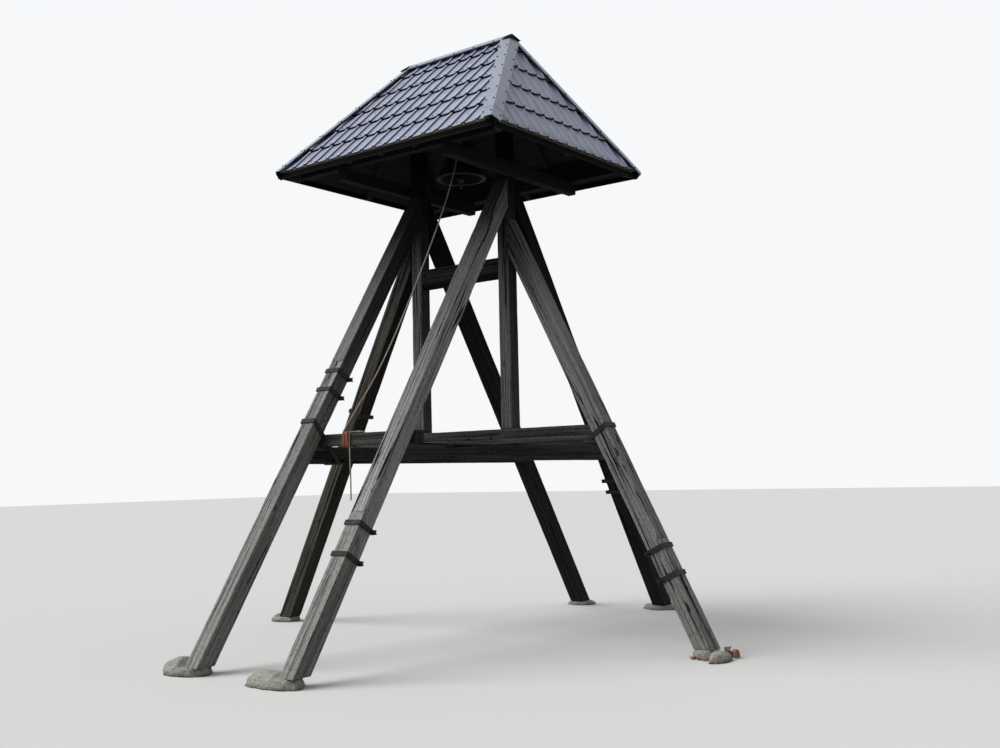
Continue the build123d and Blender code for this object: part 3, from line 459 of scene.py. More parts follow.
def timber_piece(node, material, body, seed, checks, width, depth):
    """A CAD timber with worn arrises, drying checks cut along its grain, and its grain direction."""
    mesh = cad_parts[node].data.copy()
    mesh.name = node + "_timber"
    work = bmesh.new()
    work.from_mesh(mesh)
    worn_layer = work.verts.layers.float.new("wear")
    bmesh.ops.remove_doubles(work, verts=work.verts, dist=same_place)
    bmesh.ops.dissolve_limit(work, angle_limit=flat_within, verts=work.verts, edges=work.edges)
    longest = max(work.edges, key=lambda edge: edge.calc_length())
    grain = (longest.verts[1].co - longest.verts[0].co).normalized()
    across = Vector((0, 1, 0)) if abs(grain.x) > 0.05 else Vector((1, 0, 0))
    third = grain.cross(across)
    arrises = [edge for edge in work.edges if edge.is_manifold
               and edge.calc_face_angle() > arris_angle and edge.calc_length() > shortest_arris]
    bevel = bmesh.ops.bevel(
        work, geom=arrises, offset=arris_radius, offset_type="OFFSET", segments=2,
        profile=0.5, affect="EDGES", clamp_overlap=True,
    )
    for vertex in bevel["verts"]:
        if vertex.is_valid:
            vertex[worn_layer] = 1
    ways = ((across, third), (-across, third), (third, across), (-third, across))
    marks = marked_checks(work, ways, checks, width, depth, np.random.default_rng(seed))
    opened_checks(work, marks, grain, seed)
    worn_arrises(work, grain, seed)
    work.to_mesh(mesh)
    work.free()
    places = np.zeros(len(mesh.vertices) * 3)
    mesh.vertices.foreach_get("co", places)
    places = places.reshape(-1, 3) @ np.array([grain, across, third]).T + seed * grain_shift
    grain_data = mesh.attributes.new("grain", "FLOAT_VECTOR", "POINT").data
    grain_data.foreach_set("vector", places.astype(np.float32).ravel())
    # Marks the faces that painted shade and kept tar darken: front faces on the listed pieces, faces turned
    # to +x and undersides on the rest.
    if node in front_shaded_pieces:
        shade_and_tar = [face.normal.y < -shaded_side_normal for face in mesh.polygons]
    else:
        shade_and_tar = [face.normal.x > shaded_side_normal and face.normal.z < shaded_top_normal or face.normal.z < shaded_under_normal
               for face in mesh.polygons]
    shade_and_tar_data = mesh.attributes.new("shade_and_tar", "FLOAT", "FACE").data
    shade_and_tar_data.foreach_set("value", [float(value) for value in shade_and_tar])
    mesh.shade_smooth()
    mesh.set_sharp_from_angle(angle=smooth_within)
    mesh.materials.clear()
    mesh.materials.append(material)
    piece = bpy.data.objects.new(node + "_timber", mesh)
    scene.collection.objects.link(piece)
    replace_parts(piece, node)
    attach(piece, body)


timbers_made = []


def timbers(material, nodes, checks, width, depth, body="frame"):
    """Makes the timbers of one finish, each with a seed of its own."""
    for node in nodes:
        timbers_made.append(node)
        timber_piece(node, material, body, len(timbers_made), checks, width, depth)


lower_right_legs = ("leg_front_right_lower", "leg_outer_right_lower")
ties = ("front_tie", "back_tie", "side_tie_left", "side_tie_right", "centre_tie_left", "centre_tie_right")
timbers(grey_oak, ("leg_front_left_lower",), checks=4, width=0.0080, depth=0.022)
timbers(grey_oak, lower_right_legs, checks=3, width=0.0028, depth=0.008)
timbers(upper_oak, ("leg_front_right_upper",), checks=3, width=0.0036, depth=0.008)
timbers(deep_shaded_oak, ("leg_front_left_upper",), checks=3, width=0.0036, depth=0.008)
timbers(shaded_oak, ("leg_outer_right_upper",), checks=3, width=0.0036, depth=0.008)
timbers(mossy_oak, ("leg_outer_left",), checks=3, width=0.0040, depth=0.008)
timbers(tarred_oak_in_shade, ("leg_back_left", "leg_back_right", "cross_piece"),
        checks=3, width=0.0040, depth=0.008)
timbers(tarred_oak, ("post_left", "post_right"), checks=3, width=0.0040, depth=0.008)
timbers(tie_oak, ties, checks=2, width=0.0045, depth=0.010)
timbers(tarred_oak, ("headstock",), checks=2, width=0.0036, depth=0.006, body="bell")

# Roof boards: rafters, eaves boards and close planks under the sheet, all of tarred softwood
# that the weather has turned greenish where light reaches it.
ridge_half_length = 0.792
roof_rise = 1.470
sheet_depth = 0.042
plank_width = 0.135
plank_gap = 0.006
plank_thickness = 0.010
plank_depth = 0.064
plank_tilt = (0.004, 0.0004, 0)
upwards = Vector((0, 0, 1))
eave_half_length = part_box("roof_sheet_right")[1].x
eave_half_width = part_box("roof_sheet_back")[1].y
front_angle = math.atan(roof_rise / eave_half_width)
end_angle = math.atan(roof_rise / (eave_half_length - ridge_half_length))
eave_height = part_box("roof_sheet_front")[0].z + sheet_depth * math.cos(front_angle)
slopes = {
    "front": (front_angle, Vector((0, -eave_half_width, 0)), Vector((1, 0, 0)), eave_half_length),
    "back": (front_angle, Vector((0, eave_half_width, 0)), Vector((-1, 0, 0)), eave_half_length),
    "right": (end_angle, Vector((eave_half_length, 0, 0)), Vector((0, 1, 0)), eave_half_width),
    "left": (end_angle, Vector((-eave_half_length, 0, 0)), Vector((0, -1, 0)), eave_half_width),
}


def slope_point(side, along, rise, depth):
    """A point of a slope: along its eave to the viewer's right, up the slope, and under the crests."""
    angle, foot, right_way, _ = slopes[side]
    inwards = upwards.cross(right_way)
    return (
        foot + right_way * along + upwards * eave_height
        + inwards * (rise * math.cos(angle) + depth * math.sin(angle))
        + upwards * (rise * math.sin(angle) - depth * math.cos(angle))
    )


def slope_length(side):
    return roof_rise / math.sin(slopes[side][0])


def roof_corner(x_sign, y_sign):
    return Vector((x_sign * eave_half_length, y_sign * eave_half_width, eave_height))


def ridge_end(x_sign):
    return Vector((x_sign * ridge_half_length, 0, eave_height + roof_rise))


def trimmed_to_slope(work, side):
    """Cuts a mesh along the two hips, and along the ridge, that bound its slope."""
    hip_run = eave_half_length - ridge_half_length
    for x_sign in (-1, 1):
        for y_sign in (-1, 1):
            normal = Vector((-x_sign * eave_half_width, y_sign * hip_run, 0))
            if side == ("left" if x_sign < 0 else "right"):
                cut_through(work, roof_corner(x_sign, y_sign), normal, clear_outer=True)
            elif side == ("front" if y_sign < 0 else "back"):
                cut_through(work, roof_corner(x_sign, y_sign), -normal, clear_outer=True)
    if side in ("front", "back"):
        over_ridge = Vector((0, 1 if side == "front" else -1, 0))
        cut_through(work, Vector(), over_ridge, clear_outer=True)


def softwood_material(name, dark, light, green):
    """Tarred softwood seen from below, nearly black, with a little grain and algae."""
    material, tree, output = new_material(name)
    place = object_place(tree)
    grain = stretched_noise(tree, place, (1.5, 1.5, 40), detail=5)
    patch = stretched_noise(tree, place, (2.3, 2.3, 2.3), detail=4)
    colour = ramp(tree, grain, (0.35, dark), (0.7, light))
    colour = blended(tree, ramp(tree, patch, (0.5, 0), (0.75, 0.6)), colour, green)
    finished(tree, output, colour, 0.9, grain, bump=0.002, specular=0.04)
    return material


def coat_nodes(material, *nodes):
    """Gives carried-over CAD nodes their material."""
    for node in nodes:
        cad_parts[node].data.materials.clear()
        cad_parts[node].data.materials.append(material)


roof_timber = softwood_material(
    "roof_timber", dark=(0.062, 0.067, 0.072), light=(0.115, 0.122, 0.130), green=(0.095, 0.108, 0.078),
)
coat_nodes(roof_timber, "roof_boards_front", "roof_boards_back", "roof_boards_left", "roof_boards_right")


def growing_tree(name, takes_mesh, **sizes):
    """A geometry tree with a named input for each size, and the identifiers of those inputs."""
    tree = bpy.data.node_groups.new(name, "GeometryNodeTree")
    if takes_mesh:
        tree.interface.new_socket(name="Geometry", in_out="INPUT", socket_type="NodeSocketGeometry")
    identifiers = {}
    for key, value in sizes.items():
        kind = "NodeSocketInt" if isinstance(value, int) else "NodeSocketFloat"
        socket = tree.interface.new_socket(name=key, in_out="INPUT", socket_type=kind)
        socket.default_value = value
        identifiers[key] = socket.identifier
    tree.interface.new_socket(name="Geometry", in_out="OUTPUT", socket_type="NodeSocketGeometry")
    return tree, identifiers


def end_tree(tree, copies, material):
    """Ends a geometry tree: its copies become real and get their material."""
    real = add_node(tree, "GeometryNodeRealizeInstances", Geometry=copies.outputs[0])
    coated = add_node(tree, "GeometryNodeSetMaterial", Geometry=real.outputs[0], Material=material)
    feed(tree, coated.outputs[0], tree.nodes.new("NodeGroupOutput").inputs[0])


def plank_tree(material):
    """Planks side by side up a slope: one plank, repeated, each with a slight tilt."""
    tree, identifiers = growing_tree(
        "planks", False, Length=1.0, Width=plank_width, Gap=plank_gap, Thickness=plank_thickness, Count=8,
    )
    given = tree.nodes.new("NodeGroupInput").outputs
    size = add_node(tree, "ShaderNodeCombineXYZ", X=given["Length"], Y=given["Width"], Z=given["Thickness"])
    plank = add_node(tree, "GeometryNodeMeshCube", Size=size.outputs[0])
    step = combined(tree, "ADD", given["Width"], given["Gap"])
    offset = add_node(tree, "ShaderNodeCombineXYZ", Y=step)
    row = add_node(tree, "GeometryNodeMeshLine", Count=given["Count"], Offset=offset.outputs[0])
    tilt = add_node(
        tree, "FunctionNodeRandomValue", {"data_type": "FLOAT_VECTOR"},
        Min=darker(plank_tilt, -1), Max=plank_tilt, Seed=4,
    )
    copies = add_node(
        tree, "GeometryNodeInstanceOnPoints", Points=row.outputs[0], Instance=plank.outputs["Mesh"],
        Rotation=tilt.outputs[0],
    )
    end_tree(tree, copies, material)
    return tree, identifiers


def grown_mesh(name, tree, identifiers, values, start_mesh=None):
    """The plain mesh that a geometry tree makes with the given sizes."""
    holder = bpy.data.objects.new(name, start_mesh or bpy.data.meshes.new(name))
    scene.collection.objects.link(holder)
    modifier = holder.modifiers.new("grow", "NODES")
    modifier.node_group = tree
    for key, value in values.items():
        modifier[identifiers[key]] = value
    graph = bpy.context.evaluated_depsgraph_get()
    mesh = bpy.data.meshes.new_from_object(holder.evaluated_get(graph))
    holder.modifiers.remove(modifier)
    bpy.data.objects.remove(holder)
    mesh.name = name
    return mesh


def mesh_from(work, name, *materials):
    """Ends mesh work: the mesh that it made, with its materials."""
    mesh = bpy.data.meshes.new(name)
    work.to_mesh(mesh)
    work.free()
    for material in materials:
        mesh.materials.append(material)
    return mesh


def finished_piece(name, mesh, body):
    """A piece from its mesh, on its body."""
    piece = bpy.data.objects.new(name, mesh)
    scene.collection.objects.link(piece)
    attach(piece, body)
    return piece


planks, plank_inputs = plank_tree(roof_timber)
for side in slopes:
    count = int(slope_length(side) / (plank_width + plank_gap))
    mesh = grown_mesh(f"planks_{side}", planks, plank_inputs, {"Length": 2 * slopes[side][3], "Count": count})
    work = bmesh.new()
    work.from_mesh(mesh)
    for vertex in work.verts:
        rise = vertex.co.y + plank_width
        vertex.co = slope_point(side, vertex.co.x, rise, plank_depth + plank_thickness / 2 - vertex.co.z)
    trimmed_to_slope(work, side)
    work.to_mesh(mesh)
    work.free()
    finished_piece(f"planks_{side}", mesh, "frame")

# Eaves boards: one along each eave, mitred at the corners, with a rounded upper arris. A strip
# along its top is a pale green painted highlight. They stand under the lowest course of the sheet.
eaves_out = 0.033
eaves_in = 0.060
eaves_bottom = 0.093
eaves_top = 0.022
eaves_fall = 0.010
eaves_round = 0.004
eaves_lit = 0.014
eaves_corner = 0.12
eaves_steps = 32
eaves_profile = (
    (eaves_out, eaves_bottom - eaves_round), (eaves_out, eaves_top + eaves_lit),
    (eaves_out - eaves_round, eaves_top + eaves_lit - eaves_round),
    (eaves_out - eaves_round, eaves_top + eaves_round), (eaves_out, eaves_top),
    (eaves_in, eaves_top + eaves_fall), (eaves_in, eaves_bottom), (eaves_out + eaves_round, eaves_bottom),
)
eaves_timber = softwood_material(
    "eaves_timber", dark=(0.004, 0.004, 0.004), light=(0.011, 0.011, 0.010), green=(0.010, 0.013, 0.007),
)
eaves_lit_strip = softwood_material(
    "eaves_lit_strip", dark=(0.105, 0.112, 0.072), light=(0.235, 0.245, 0.165), green=(0.150, 0.175, 0.075),
)


def closed_strip(work, loops):
    """Joins closed loops of vertices, each to the next."""
    for near, far in zip(loops, loops[1:]):
        for number in range(len(near)):
            after = (number + 1) % len(near)
            work.faces.new((near[number], near[after], far[after], far[number]))


def fill_holes(work):
    bmesh.ops.holes_fill(work, edges=[edge for edge in work.edges if edge.is_boundary])


def outwards_faces(work):
    bmesh.ops.recalc_face_normals(work, faces=work.faces[:])


for side, (_, foot, right_way, half) in slopes.items():
    inwards = upwards.cross(right_way)
    work = bmesh.new()
    loops = []
    for step in range(2 * eaves_steps + 1):
        along = foot + right_way * (half * (step / eaves_steps - 1))
        loops.append([
            work.verts.new(along + inwards * across + upwards * (eave_height - drop))
            for across, drop in eaves_profile
        ])
    closed_strip(work, loops)
    trimmed_to_slope(work, side)
    fill_holes(work)
    outwards_faces(work)
    # Painted highlight: the top strip of the outer face, away from the corners, takes the pale green
    # material.
    lit_above = eave_height - eaves_top - eaves_lit
    for face in work.faces:
        middle = face.calc_center_median()
        outside = (middle - foot).dot(inwards) < eaves_out + 0.001
        from_corner = half - abs((middle - foot).dot(right_way))
        if outside and middle.z > lit_above and from_corner > eaves_corner:
            face.material_index = 1
    mesh = mesh_from(work, f"eaves_board_{side}", eaves_timber, eaves_lit_strip)
    finished_piece(f"eaves_board_{side}", mesh, "frame")

# Hip rafter ends: tarred softwood like the boards, each cut square to its hip.
# They stand out under the four corners of the roof.
hip_end_length = 0.28
hip_end_depth = 0.095
hip_end_width = 0.056
hip_end_lip = 0.024
hip_end_reach = 0.022
hip_end_round = 0.003
hip_end_size = Matrix.Diagonal((hip_end_length, hip_end_width, hip_end_depth, 1))
work = bmesh.new()
for x_sign in (-1, 1):
    for y_sign in (-1, 1):
        corner = roof_corner(x_sign, y_sign)
        up_hip = (ridge_end(x_sign) - corner).normalized()
        beside = up_hip.cross(upwards).normalized()
        under = up_hip.cross(beside)
        under = under if under.z < 0 else -under
        place = corner + up_hip * (hip_end_length / 2 - hip_end_reach)
        place += under * (hip_end_depth / 2 + hip_end_lip)
        turned = Matrix((up_hip, beside, under)).transposed().to_4x4()
        block = bmesh.ops.create_cube(work, size=1)["verts"]
        bmesh.ops.transform(work, verts=block, matrix=Matrix.Translation(place) @ turned @ hip_end_size)
bmesh.ops.bevel(work, geom=work.edges[:], offset=hip_end_round, segments=2, affect="EDGES", profile=0.5)
outwards_faces(work)
mesh = mesh_from(work, "hip_rafter_ends", eaves_timber)
finished_piece("hip_rafter_ends", mesh, "frame")

# Roof sheet: coated steel pressed to look like pantiles, in courses that step over each other.
# A wave has a wide flat trough, a crest at its right and a steep drop. Each row of its shape is a
# share of the pitch, the drop, the painted shade and the painted highlight there. Painted shade also
# darkens the step under each course. Pale strips close it at the eaves.
wave_pitch = 0.1804
wave_height = 0.022
course_length = 0.360
course_step = 0.019
lip_return = 0.006
lip_shade = 0.005
lip_round = 0.004
lip_bottom = 0.011
lip_middle = 0.002
step_foot = 0.003
step_shade_reach = 0.024
shaded_share = 0.6
# The painted highlight on the crests is weaker on the end slopes.
end_highlight = 0.2
closure_rise = 0.004
closure_gap = 0.002
closure_depth = 0.036
sheet_smooth = math.radians(38)
# Near-black colour of the painted shade in the wave valleys and under each course's step.
sheet_shade_colour = (0.008, 0.009, 0.014)
# Pale colour of the painted highlight along the crests.
crest_highlight_colour = (0.78, 0.80, 0.88)
first_crest = {
    "front": eave_half_length - 0.199,
    "right": 0.279 - eave_half_width,
    "back": 0.05,
    "left": 0.03,
}
# Columns: share of the pitch, drop, painted shade and painted highlight.
wave_shape = (
    (0.000, 0.00, 0.0, 1.0), (0.025, 0.05, 0.0, 0.8), (0.050, 0.26, 0.3, 0.1), (0.080, 0.62, 0.7, 0.0),
    (0.115, 0.90, 0.6, 0.0), (0.155, 1.00, 0.25, 0.0), (0.200, 1.00, 0.0, 0.0), (0.420, 0.97, 0.0, 0.0),
    (0.620, 0.90, 0.0, 0.0), (0.780, 0.76, 0.0, 0.0), (0.870, 0.52, 0.0, 0.0), (0.920, 0.26, 0.0, 0.7),
    (0.960, 0.07, 0.0, 1.0),
)


def sheet_material(name, base, worn, dirt, roughness, specular=0.5):
    """Coated steel: an even dull gloss with paler patches, grime that runs down the slope, a painted
    highlight along the crests and painted shade in the valleys and under the steps.
    """
    material, tree, output = new_material(name)
    place = object_place(tree)
    patch = stretched_noise(tree, place, (1.7, 1.7, 1.1), detail=5)
    speck = stretched_noise(tree, place, (60, 60, 60), detail=3)
    run = stretched_noise(tree, place, (13, 13, 1.6), detail=4)
    colour = ramp(tree, patch, (0.35, base), (0.7, worn))
    colour = blended(tree, ramp(tree, run, (0.5, 0), (0.7, 0.5)), colour, dirt)
    colour = blended(tree, ramp(tree, speck, (0.6, 0), (0.74, 0.35)), colour, worn)
    # Painted highlight along the crests.
    colour = blended(tree, attribute(tree, "crest_highlight"), colour, crest_highlight_colour)
    # Painted shade in the valleys and under the steps.
    colour = blended(tree, attribute(tree, "painted_shade"), colour, sheet_shade_colour)
    gloss = combined(tree, "ADD", product(tree, patch, 0.25), roughness)
    finished(tree, output, colour, gloss, speck, bump=0.0004, specular=specular)
    return material


closure_strip = sheet_material(
    "closure_strip", base=(0.62, 0.63, 0.64), worn=(0.74, 0.75, 0.76), dirt=(0.42, 0.42, 0.40),
    roughness=0.6,
)
coated_sheet = sheet_material(
    "coated_sheet", base=(0.305, 0.340, 0.485), worn=(0.385, 0.425, 0.585), dirt=(0.200, 0.220, 0.300),
    roughness=0.26,
)
# A dark, nearly unglossy copy of the sheet for faces deep in painted shade.
shaded_sheet = sheet_material("shaded_sheet", sheet_shade_colour, sheet_shade_colour, sheet_shade_colour, 0.7, specular=0.03)


def sheet_rows(side):
    """Rise, depth and painted shade of the rows of a slope's mesh, course by course, dark at the eave's edge
    and under each step.
    """
    rows = [(0.0, lip_bottom, 1.0), (0.0, lip_middle, 1.0), (lip_round, 0.0, 0.0)]
    length = slope_length(side)
    start = 0.0
    while start < length:
        end = min(start + course_length, length)
        for share in (0.25, 0.5, 0.75):
            rise = start + share * (end - start)
            rows.append((rise, course_step * (rise - start) / course_length, 0.0))
        rows.append((end - lip_shade, course_step * (end - lip_shade - start) / course_length, 0.0))
        rows.append((end + lip_return, course_step * (end - start) / course_length, 1.0))
        if end < length:
            rows.append((end, step_foot, 1.0))
            rows.append((end + lip_round, 0.0, 0.9))
            rows.append((end + step_shade_reach, course_step * step_shade_reach / course_length, 0.0))
        start = end
    return rows


def joined_grid(work, grid):
    """Faces between the rows of a grid of vertices."""
    faces = []
    for lower, upper in zip(grid, grid[1:]):
        for number in range(len(lower) - 1):
            corners = (lower[number], lower[number + 1], upper[number + 1], upper[number])
            faces.append(work.faces.new(corners))
    return faces


for side in slopes:
    half = slopes[side][3]
    before = math.ceil((half + first_crest[side]) / wave_pitch)
    after = math.ceil((half - first_crest[side]) / wave_pitch)
    columns = [
        (first_crest[side] + (wave + share) * wave_pitch, drop * wave_height, shade_amount, highlight)
        for wave in range(-before, after)
        for share, drop, shade_amount, highlight in wave_shape
    ]
    # Painted highlight: full on the front and back slopes, weaker on the two ends.
    highlight_share = 1 if side in ("front", "back") else end_highlight
    work = bmesh.new()
    painted_shade_layer = work.verts.layers.float.new("painted_shade")
    crest_highlight_layer = work.verts.layers.float.new("crest_highlight")
    grid = []
    for rise, depth, row_shade_amount in sheet_rows(side):
        grid.append([])
        for along, drop, shade_amount, highlight in columns:
            vertex = work.verts.new(slope_point(side, along, rise, depth + drop))
            vertex[painted_shade_layer] = max(shade_amount, row_shade_amount)
            vertex[crest_highlight_layer] = highlight * (1 - row_shade_amount) * highlight_share
            grid[-1].append(vertex)
    # Faces mostly in painted shade take the shaded sheet.
    for face in joined_grid(work, grid):
        if sum(vertex[painted_shade_layer] for vertex in face.verts) / 4 > shaded_share:
            face.material_index = 1
    trimmed_to_slope(work, side)
    work.normal_update()
    mesh = mesh_from(work, f"sheet_{side}", coated_sheet, shaded_sheet)
    mesh.shade_smooth()
    mesh.set_sharp_from_angle(angle=sheet_smooth)
    piece = finished_piece(f"sheet_{side}", mesh, "frame")
    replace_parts(piece, f"roof_sheet_{side}")
    work = bmesh.new()
    strip_top = [slope_point(side, along, closure_rise, drop + closure_gap) for along, drop, _, _ in columns]
    strip_foot = [slope_point(side, along, closure_rise, closure_depth) for along, _, _, _ in columns]
    joined_grid(work, [[work.verts.new(point) for point in row] for row in (strip_foot, strip_top)])
    trimmed_to_slope(work, side)
    mesh = mesh_from(work, f"closure_strip_{side}", closure_strip)
    finished_piece(f"closure_strip_{side}", mesh, "frame")

# Caps: folded sheet over the hips and the ridge, paler than the tiles. Their wings spring up off
# the crests to a turned-down edge, and each hip's upper piece laps over a short lower one. A folded
# tip closes each end of the ridge; its dark purple sheet is painted near black as shade.
cap_wing = 0.118
cap_sheet_thickness = 0.0015
cap_hem = 0.014
lower_cap_level = 0.002
hip_cap_level = 0.004
ridge_cap_level = 0.006
hip_cap_lift = 0.015
ridge_cap_lift = 0.016
cap_overhang = 0.012
cap_lap_place = 0.26
cap_lap = 0.05
ridge_cap_half = 0.748
first_screw = 0.10
screw_spacing = 0.30
screw_inset = 0.018
fold_screw = 0.016
tip_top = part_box("ridge_cap")[1].z
tip_drop = 0.0725
tip_inner = 0.742
tip_crown = 0.806
tip_outer = 0.862
tip_inner_half = 0.105
tip_outer_half = 0.092
tip_thickness = 0.004
cap_sheet = sheet_material(
    "cap_sheet", base=(0.285, 0.312, 0.410), worn=(0.355, 0.385, 0.490), dirt=(0.18, 0.195, 0.25),
    roughness=0.28,
)
# The ridge tips: their dark purple sheet painted near black as shade.
shaded_tip_sheet = sheet_material(
    "shaded_tip_sheet", base=(0.010, 0.010, 0.017), worn=(0.022, 0.021, 0.034), dirt=sheet_shade_colour,
    roughness=0.85, specular=0.03,
)


def slope_normal(side):
    angle, _, right_way, _ = slopes[side]
    return upwards * math.cos(angle) - upwards.cross(right_way) * math.sin(angle)


def cap_section(fold, wings, level, lift):
    """Points round a folded cap: turned-down edge, wing, fold, wing and edge, out and back."""
    (way_1, normal_1), (way_2, normal_2) = wings
    spread = (normal_1 + normal_2) / (1 + normal_1.dot(normal_2))
    loops = []
    for height in (level, level - cap_sheet_thickness):
        edge_1 = fold + way_1 * cap_wing + normal_1 * (height + lift)
        edge_2 = fold + way_2 * cap_wing + normal_2 * (height + lift)
        hem_1 = edge_1 - normal_1 * cap_hem
        hem_2 = edge_2 - normal_2 * cap_hem
        loops.append([hem_1, edge_1, fold + spread * height, edge_2, hem_2])
    return loops[0] + loops[1][::-1]


def folded_cap(work, low, high, wings, level, lift):
    """Adds a cap of one section from its low to its high end."""
    ends = [
        [work.verts.new(point) for point in cap_section(place, wings, level, lift)]
        for place in (low, high)
    ]
    closed_strip(work, ends)
    for loop in ends:
        for number in range(len(loop) // 2 - 1):
            opposite = len(loop) - 1 - number
            work.faces.new((loop[number], loop[number + 1], loop[opposite - 1], loop[opposite]))


def cap_piece(name, work, material):
    outwards_faces(work)
    return finished_piece(name, mesh_from(work, name, material), "frame")


def add_part(whole, part):
    """Moves a finished part into the mesh work of the whole."""
    mesh = mesh_from(part, "part")
    whole.from_mesh(mesh)
    bpy.data.meshes.remove(mesh)


cap_screws = []
hips = bmesh.new()
for x_sign, end_side in ((-1, "left"), (1, "right")):
    for y_sign, long_side in ((-1, "front"), (1, "back")):
        corner = roof_corner(x_sign, y_sign)
        apex = ridge_end(x_sign)
        along = (apex - corner).normalized()
        lap = corner + along * cap_lap_place
        wings = []
        long_insets = (screw_inset, cap_wing - fold_screw)
        for side, sign, insets in ((long_side, 1, long_insets), (end_side, -1, (screw_inset,))):
            normal = slope_normal(side)
            way = along.cross(normal) * (sign * x_sign * y_sign)
            wings.append((way, normal))
            run = first_screw
            while run < (apex - corner).length - first_screw:
                for inset in insets:
                    reach = cap_wing - inset
                    level = lower_cap_level if run < cap_lap_place - cap_lap else hip_cap_level
                    place = corner + along * run + way * reach
                    cap_screws.append((place + normal * (level + hip_cap_lift * reach / cap_wing), normal))
                run += screw_spacing
        for low, high, level in ((corner - along * cap_overhang, lap, lower_cap_level),
                                 (corner + along * (cap_lap_place - cap_lap), apex, hip_cap_level)):
            cap = bmesh.new()
            folded_cap(cap, low, high, wings, level, hip_cap_lift)
            cut_through(cap, Vector(), Vector((0, -y_sign, 0)), clear_outer=True)
            fill_holes(cap)
            add_part(hips, cap)
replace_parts(cap_piece("hip_cap_sheets", hips, cap_sheet), "hip_caps")

ridge = bmesh.new()
ridge_wings = []
for side in ("front", "back"):
    normal = slope_normal(side)
    way = normal.cross(Vector((1, 0, 0)))
    way = way if way.z < 0 else -way
    ridge_wings.append((way, normal))
    reach = cap_wing - screw_inset
    for number in (-2, -1, 0, 1, 2):
        place = Vector((number * screw_spacing, 0, eave_height + roof_rise)) + way * reach
        cap_screws.append((place + normal * (ridge_cap_level + ridge_cap_lift * reach / cap_wing), normal))
ridge_ends = [Vector((sign * ridge_cap_half, 0, eave_height + roof_rise)) for sign in (-1, 1)]
folded_cap(ridge, ridge_ends[0], ridge_ends[1], ridge_wings, ridge_cap_level, ridge_cap_lift)
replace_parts(cap_piece("ridge_cap_sheet", ridge, cap_sheet), "ridge_cap")

tips = bmesh.new()
tip_rim = (0, 2, 3, 4, 5)
tip_foot = (
    (tip_inner, -tip_inner_half), (tip_outer, -tip_outer_half),
    (tip_outer, tip_outer_half), (tip_inner, tip_inner_half),
)
for x_sign in (-1, 1):
    corners = [Vector((x_sign * x, 0, tip_top)) for x in (tip_inner, tip_crown)]
    corners += [Vector((x_sign * x, y, tip_top - tip_drop)) for x, y in tip_foot]
    skins = []
    for shift in (Vector(), Vector((-x_sign * tip_thickness, 0, -tip_thickness))):
        skin = [tips.verts.new(point + shift) for point in corners]
        back_top, front_top, left_back, left_front, right_front, right_back = skin
        skins.append(skin)
        tips.faces.new((back_top, left_back, left_front, front_top))
        tips.faces.new((front_top, left_front, right_front))
        tips.faces.new((front_top, right_front, right_back, back_top))
    outer, inner = skins
    for number, after in zip(tip_rim, tip_rim[1:] + tip_rim[:1]):
        tips.faces.new((outer[number], outer[after], inner[after], inner[number]))
cap_piece("ridge_tips", tips, shaded_tip_sheet)

# Screws: dark steel screws with a washer under a six-sided head. They hold the caps along their
# wings, and the sheet in every other trough of each course.
screw_gap = 0.2
screw_from_hip = 0.16
first_row = 0.06
trough_middle = 0.32
screw_sink = 0.0005


def iron_material(name, dark, light, rust, rust_share, metallic=0.55, specular=0.4):
    """Black iron or steel with an uneven surface, and rust where water stands."""
    material, tree, output = new_material(name)
    place = object_place(tree)
    hammer = stretched_noise(tree, place, (38, 38, 38), detail=3, roughness=0.5)
    stain = stretched_noise(tree, place, (14, 14, 7), roughness=0.7)
    colour = ramp(tree, hammer, (0.35, dark), (0.68, light))
    colour = blended(tree, ramp(tree, stain, (1 - rust_share, 0), (1.12 - rust_share, 0.85)), colour, rust)
    roughness = ramp(tree, stain, (0.3, 0.52), (0.75, 0.88))
    finished(tree, output, colour, roughness, hammer, bump=0.0012, specular=specular, metallic=metallic)
    return material


def fastener_tree(name, material, sides):
    """A washered head on every point of a mesh, standing along the point's facing direction."""
    tree, identifiers = growing_tree(
        name, True, WasherRadius=0.01, WasherHeight=0.01, HeadRadius=0.01, HeadHeight=0.01,
    )
    given = tree.nodes.new("NodeGroupInput").outputs
    join = tree.nodes.new("GeometryNodeJoinGeometry")
    for radius, height, count, base in (("WasherRadius", "WasherHeight", 12, 0.0),
                                        ("HeadRadius", "HeadHeight", sides, given["WasherHeight"])):
        part = add_node(
            tree, "GeometryNodeMeshCylinder", Vertices=count, Radius=given[radius], Depth=given[height],
        )
        lift = combined(tree, "ADD", product(tree, given[height], 0.5), base)
        offset = add_node(tree, "ShaderNodeCombineXYZ", Z=lift).outputs[0]
        moved = add_node(
            tree, "GeometryNodeTransform", Geometry=part.outputs["Mesh"], Translation=offset,
        )
        feed(tree, moved.outputs[0], join.inputs[0])
    facing = add_node(tree, "GeometryNodeInputNamedAttribute", {"data_type": "FLOAT_VECTOR"}, Name="facing")
    align = add_node(
        tree, "FunctionNodeAlignRotationToVector", {"axis": "Z"}, Vector=facing.outputs["Attribute"],
    )
    copies = add_node(
        tree, "GeometryNodeInstanceOnPoints", Points=given["Geometry"], Instance=join.outputs[0],
        Rotation=align.outputs[0],
    )
    turn_about = add_node(tree, "FunctionNodeRandomValue", Max=3.0, Seed=7).outputs[1]
    spin = add_node(tree, "ShaderNodeCombineXYZ", Z=turn_about).outputs[0]
    turned = add_node(tree, "GeometryNodeRotateInstances", Instances=copies.outputs[0], Rotation=spin)
    end_tree(tree, turned, material)
    return tree, identifiers


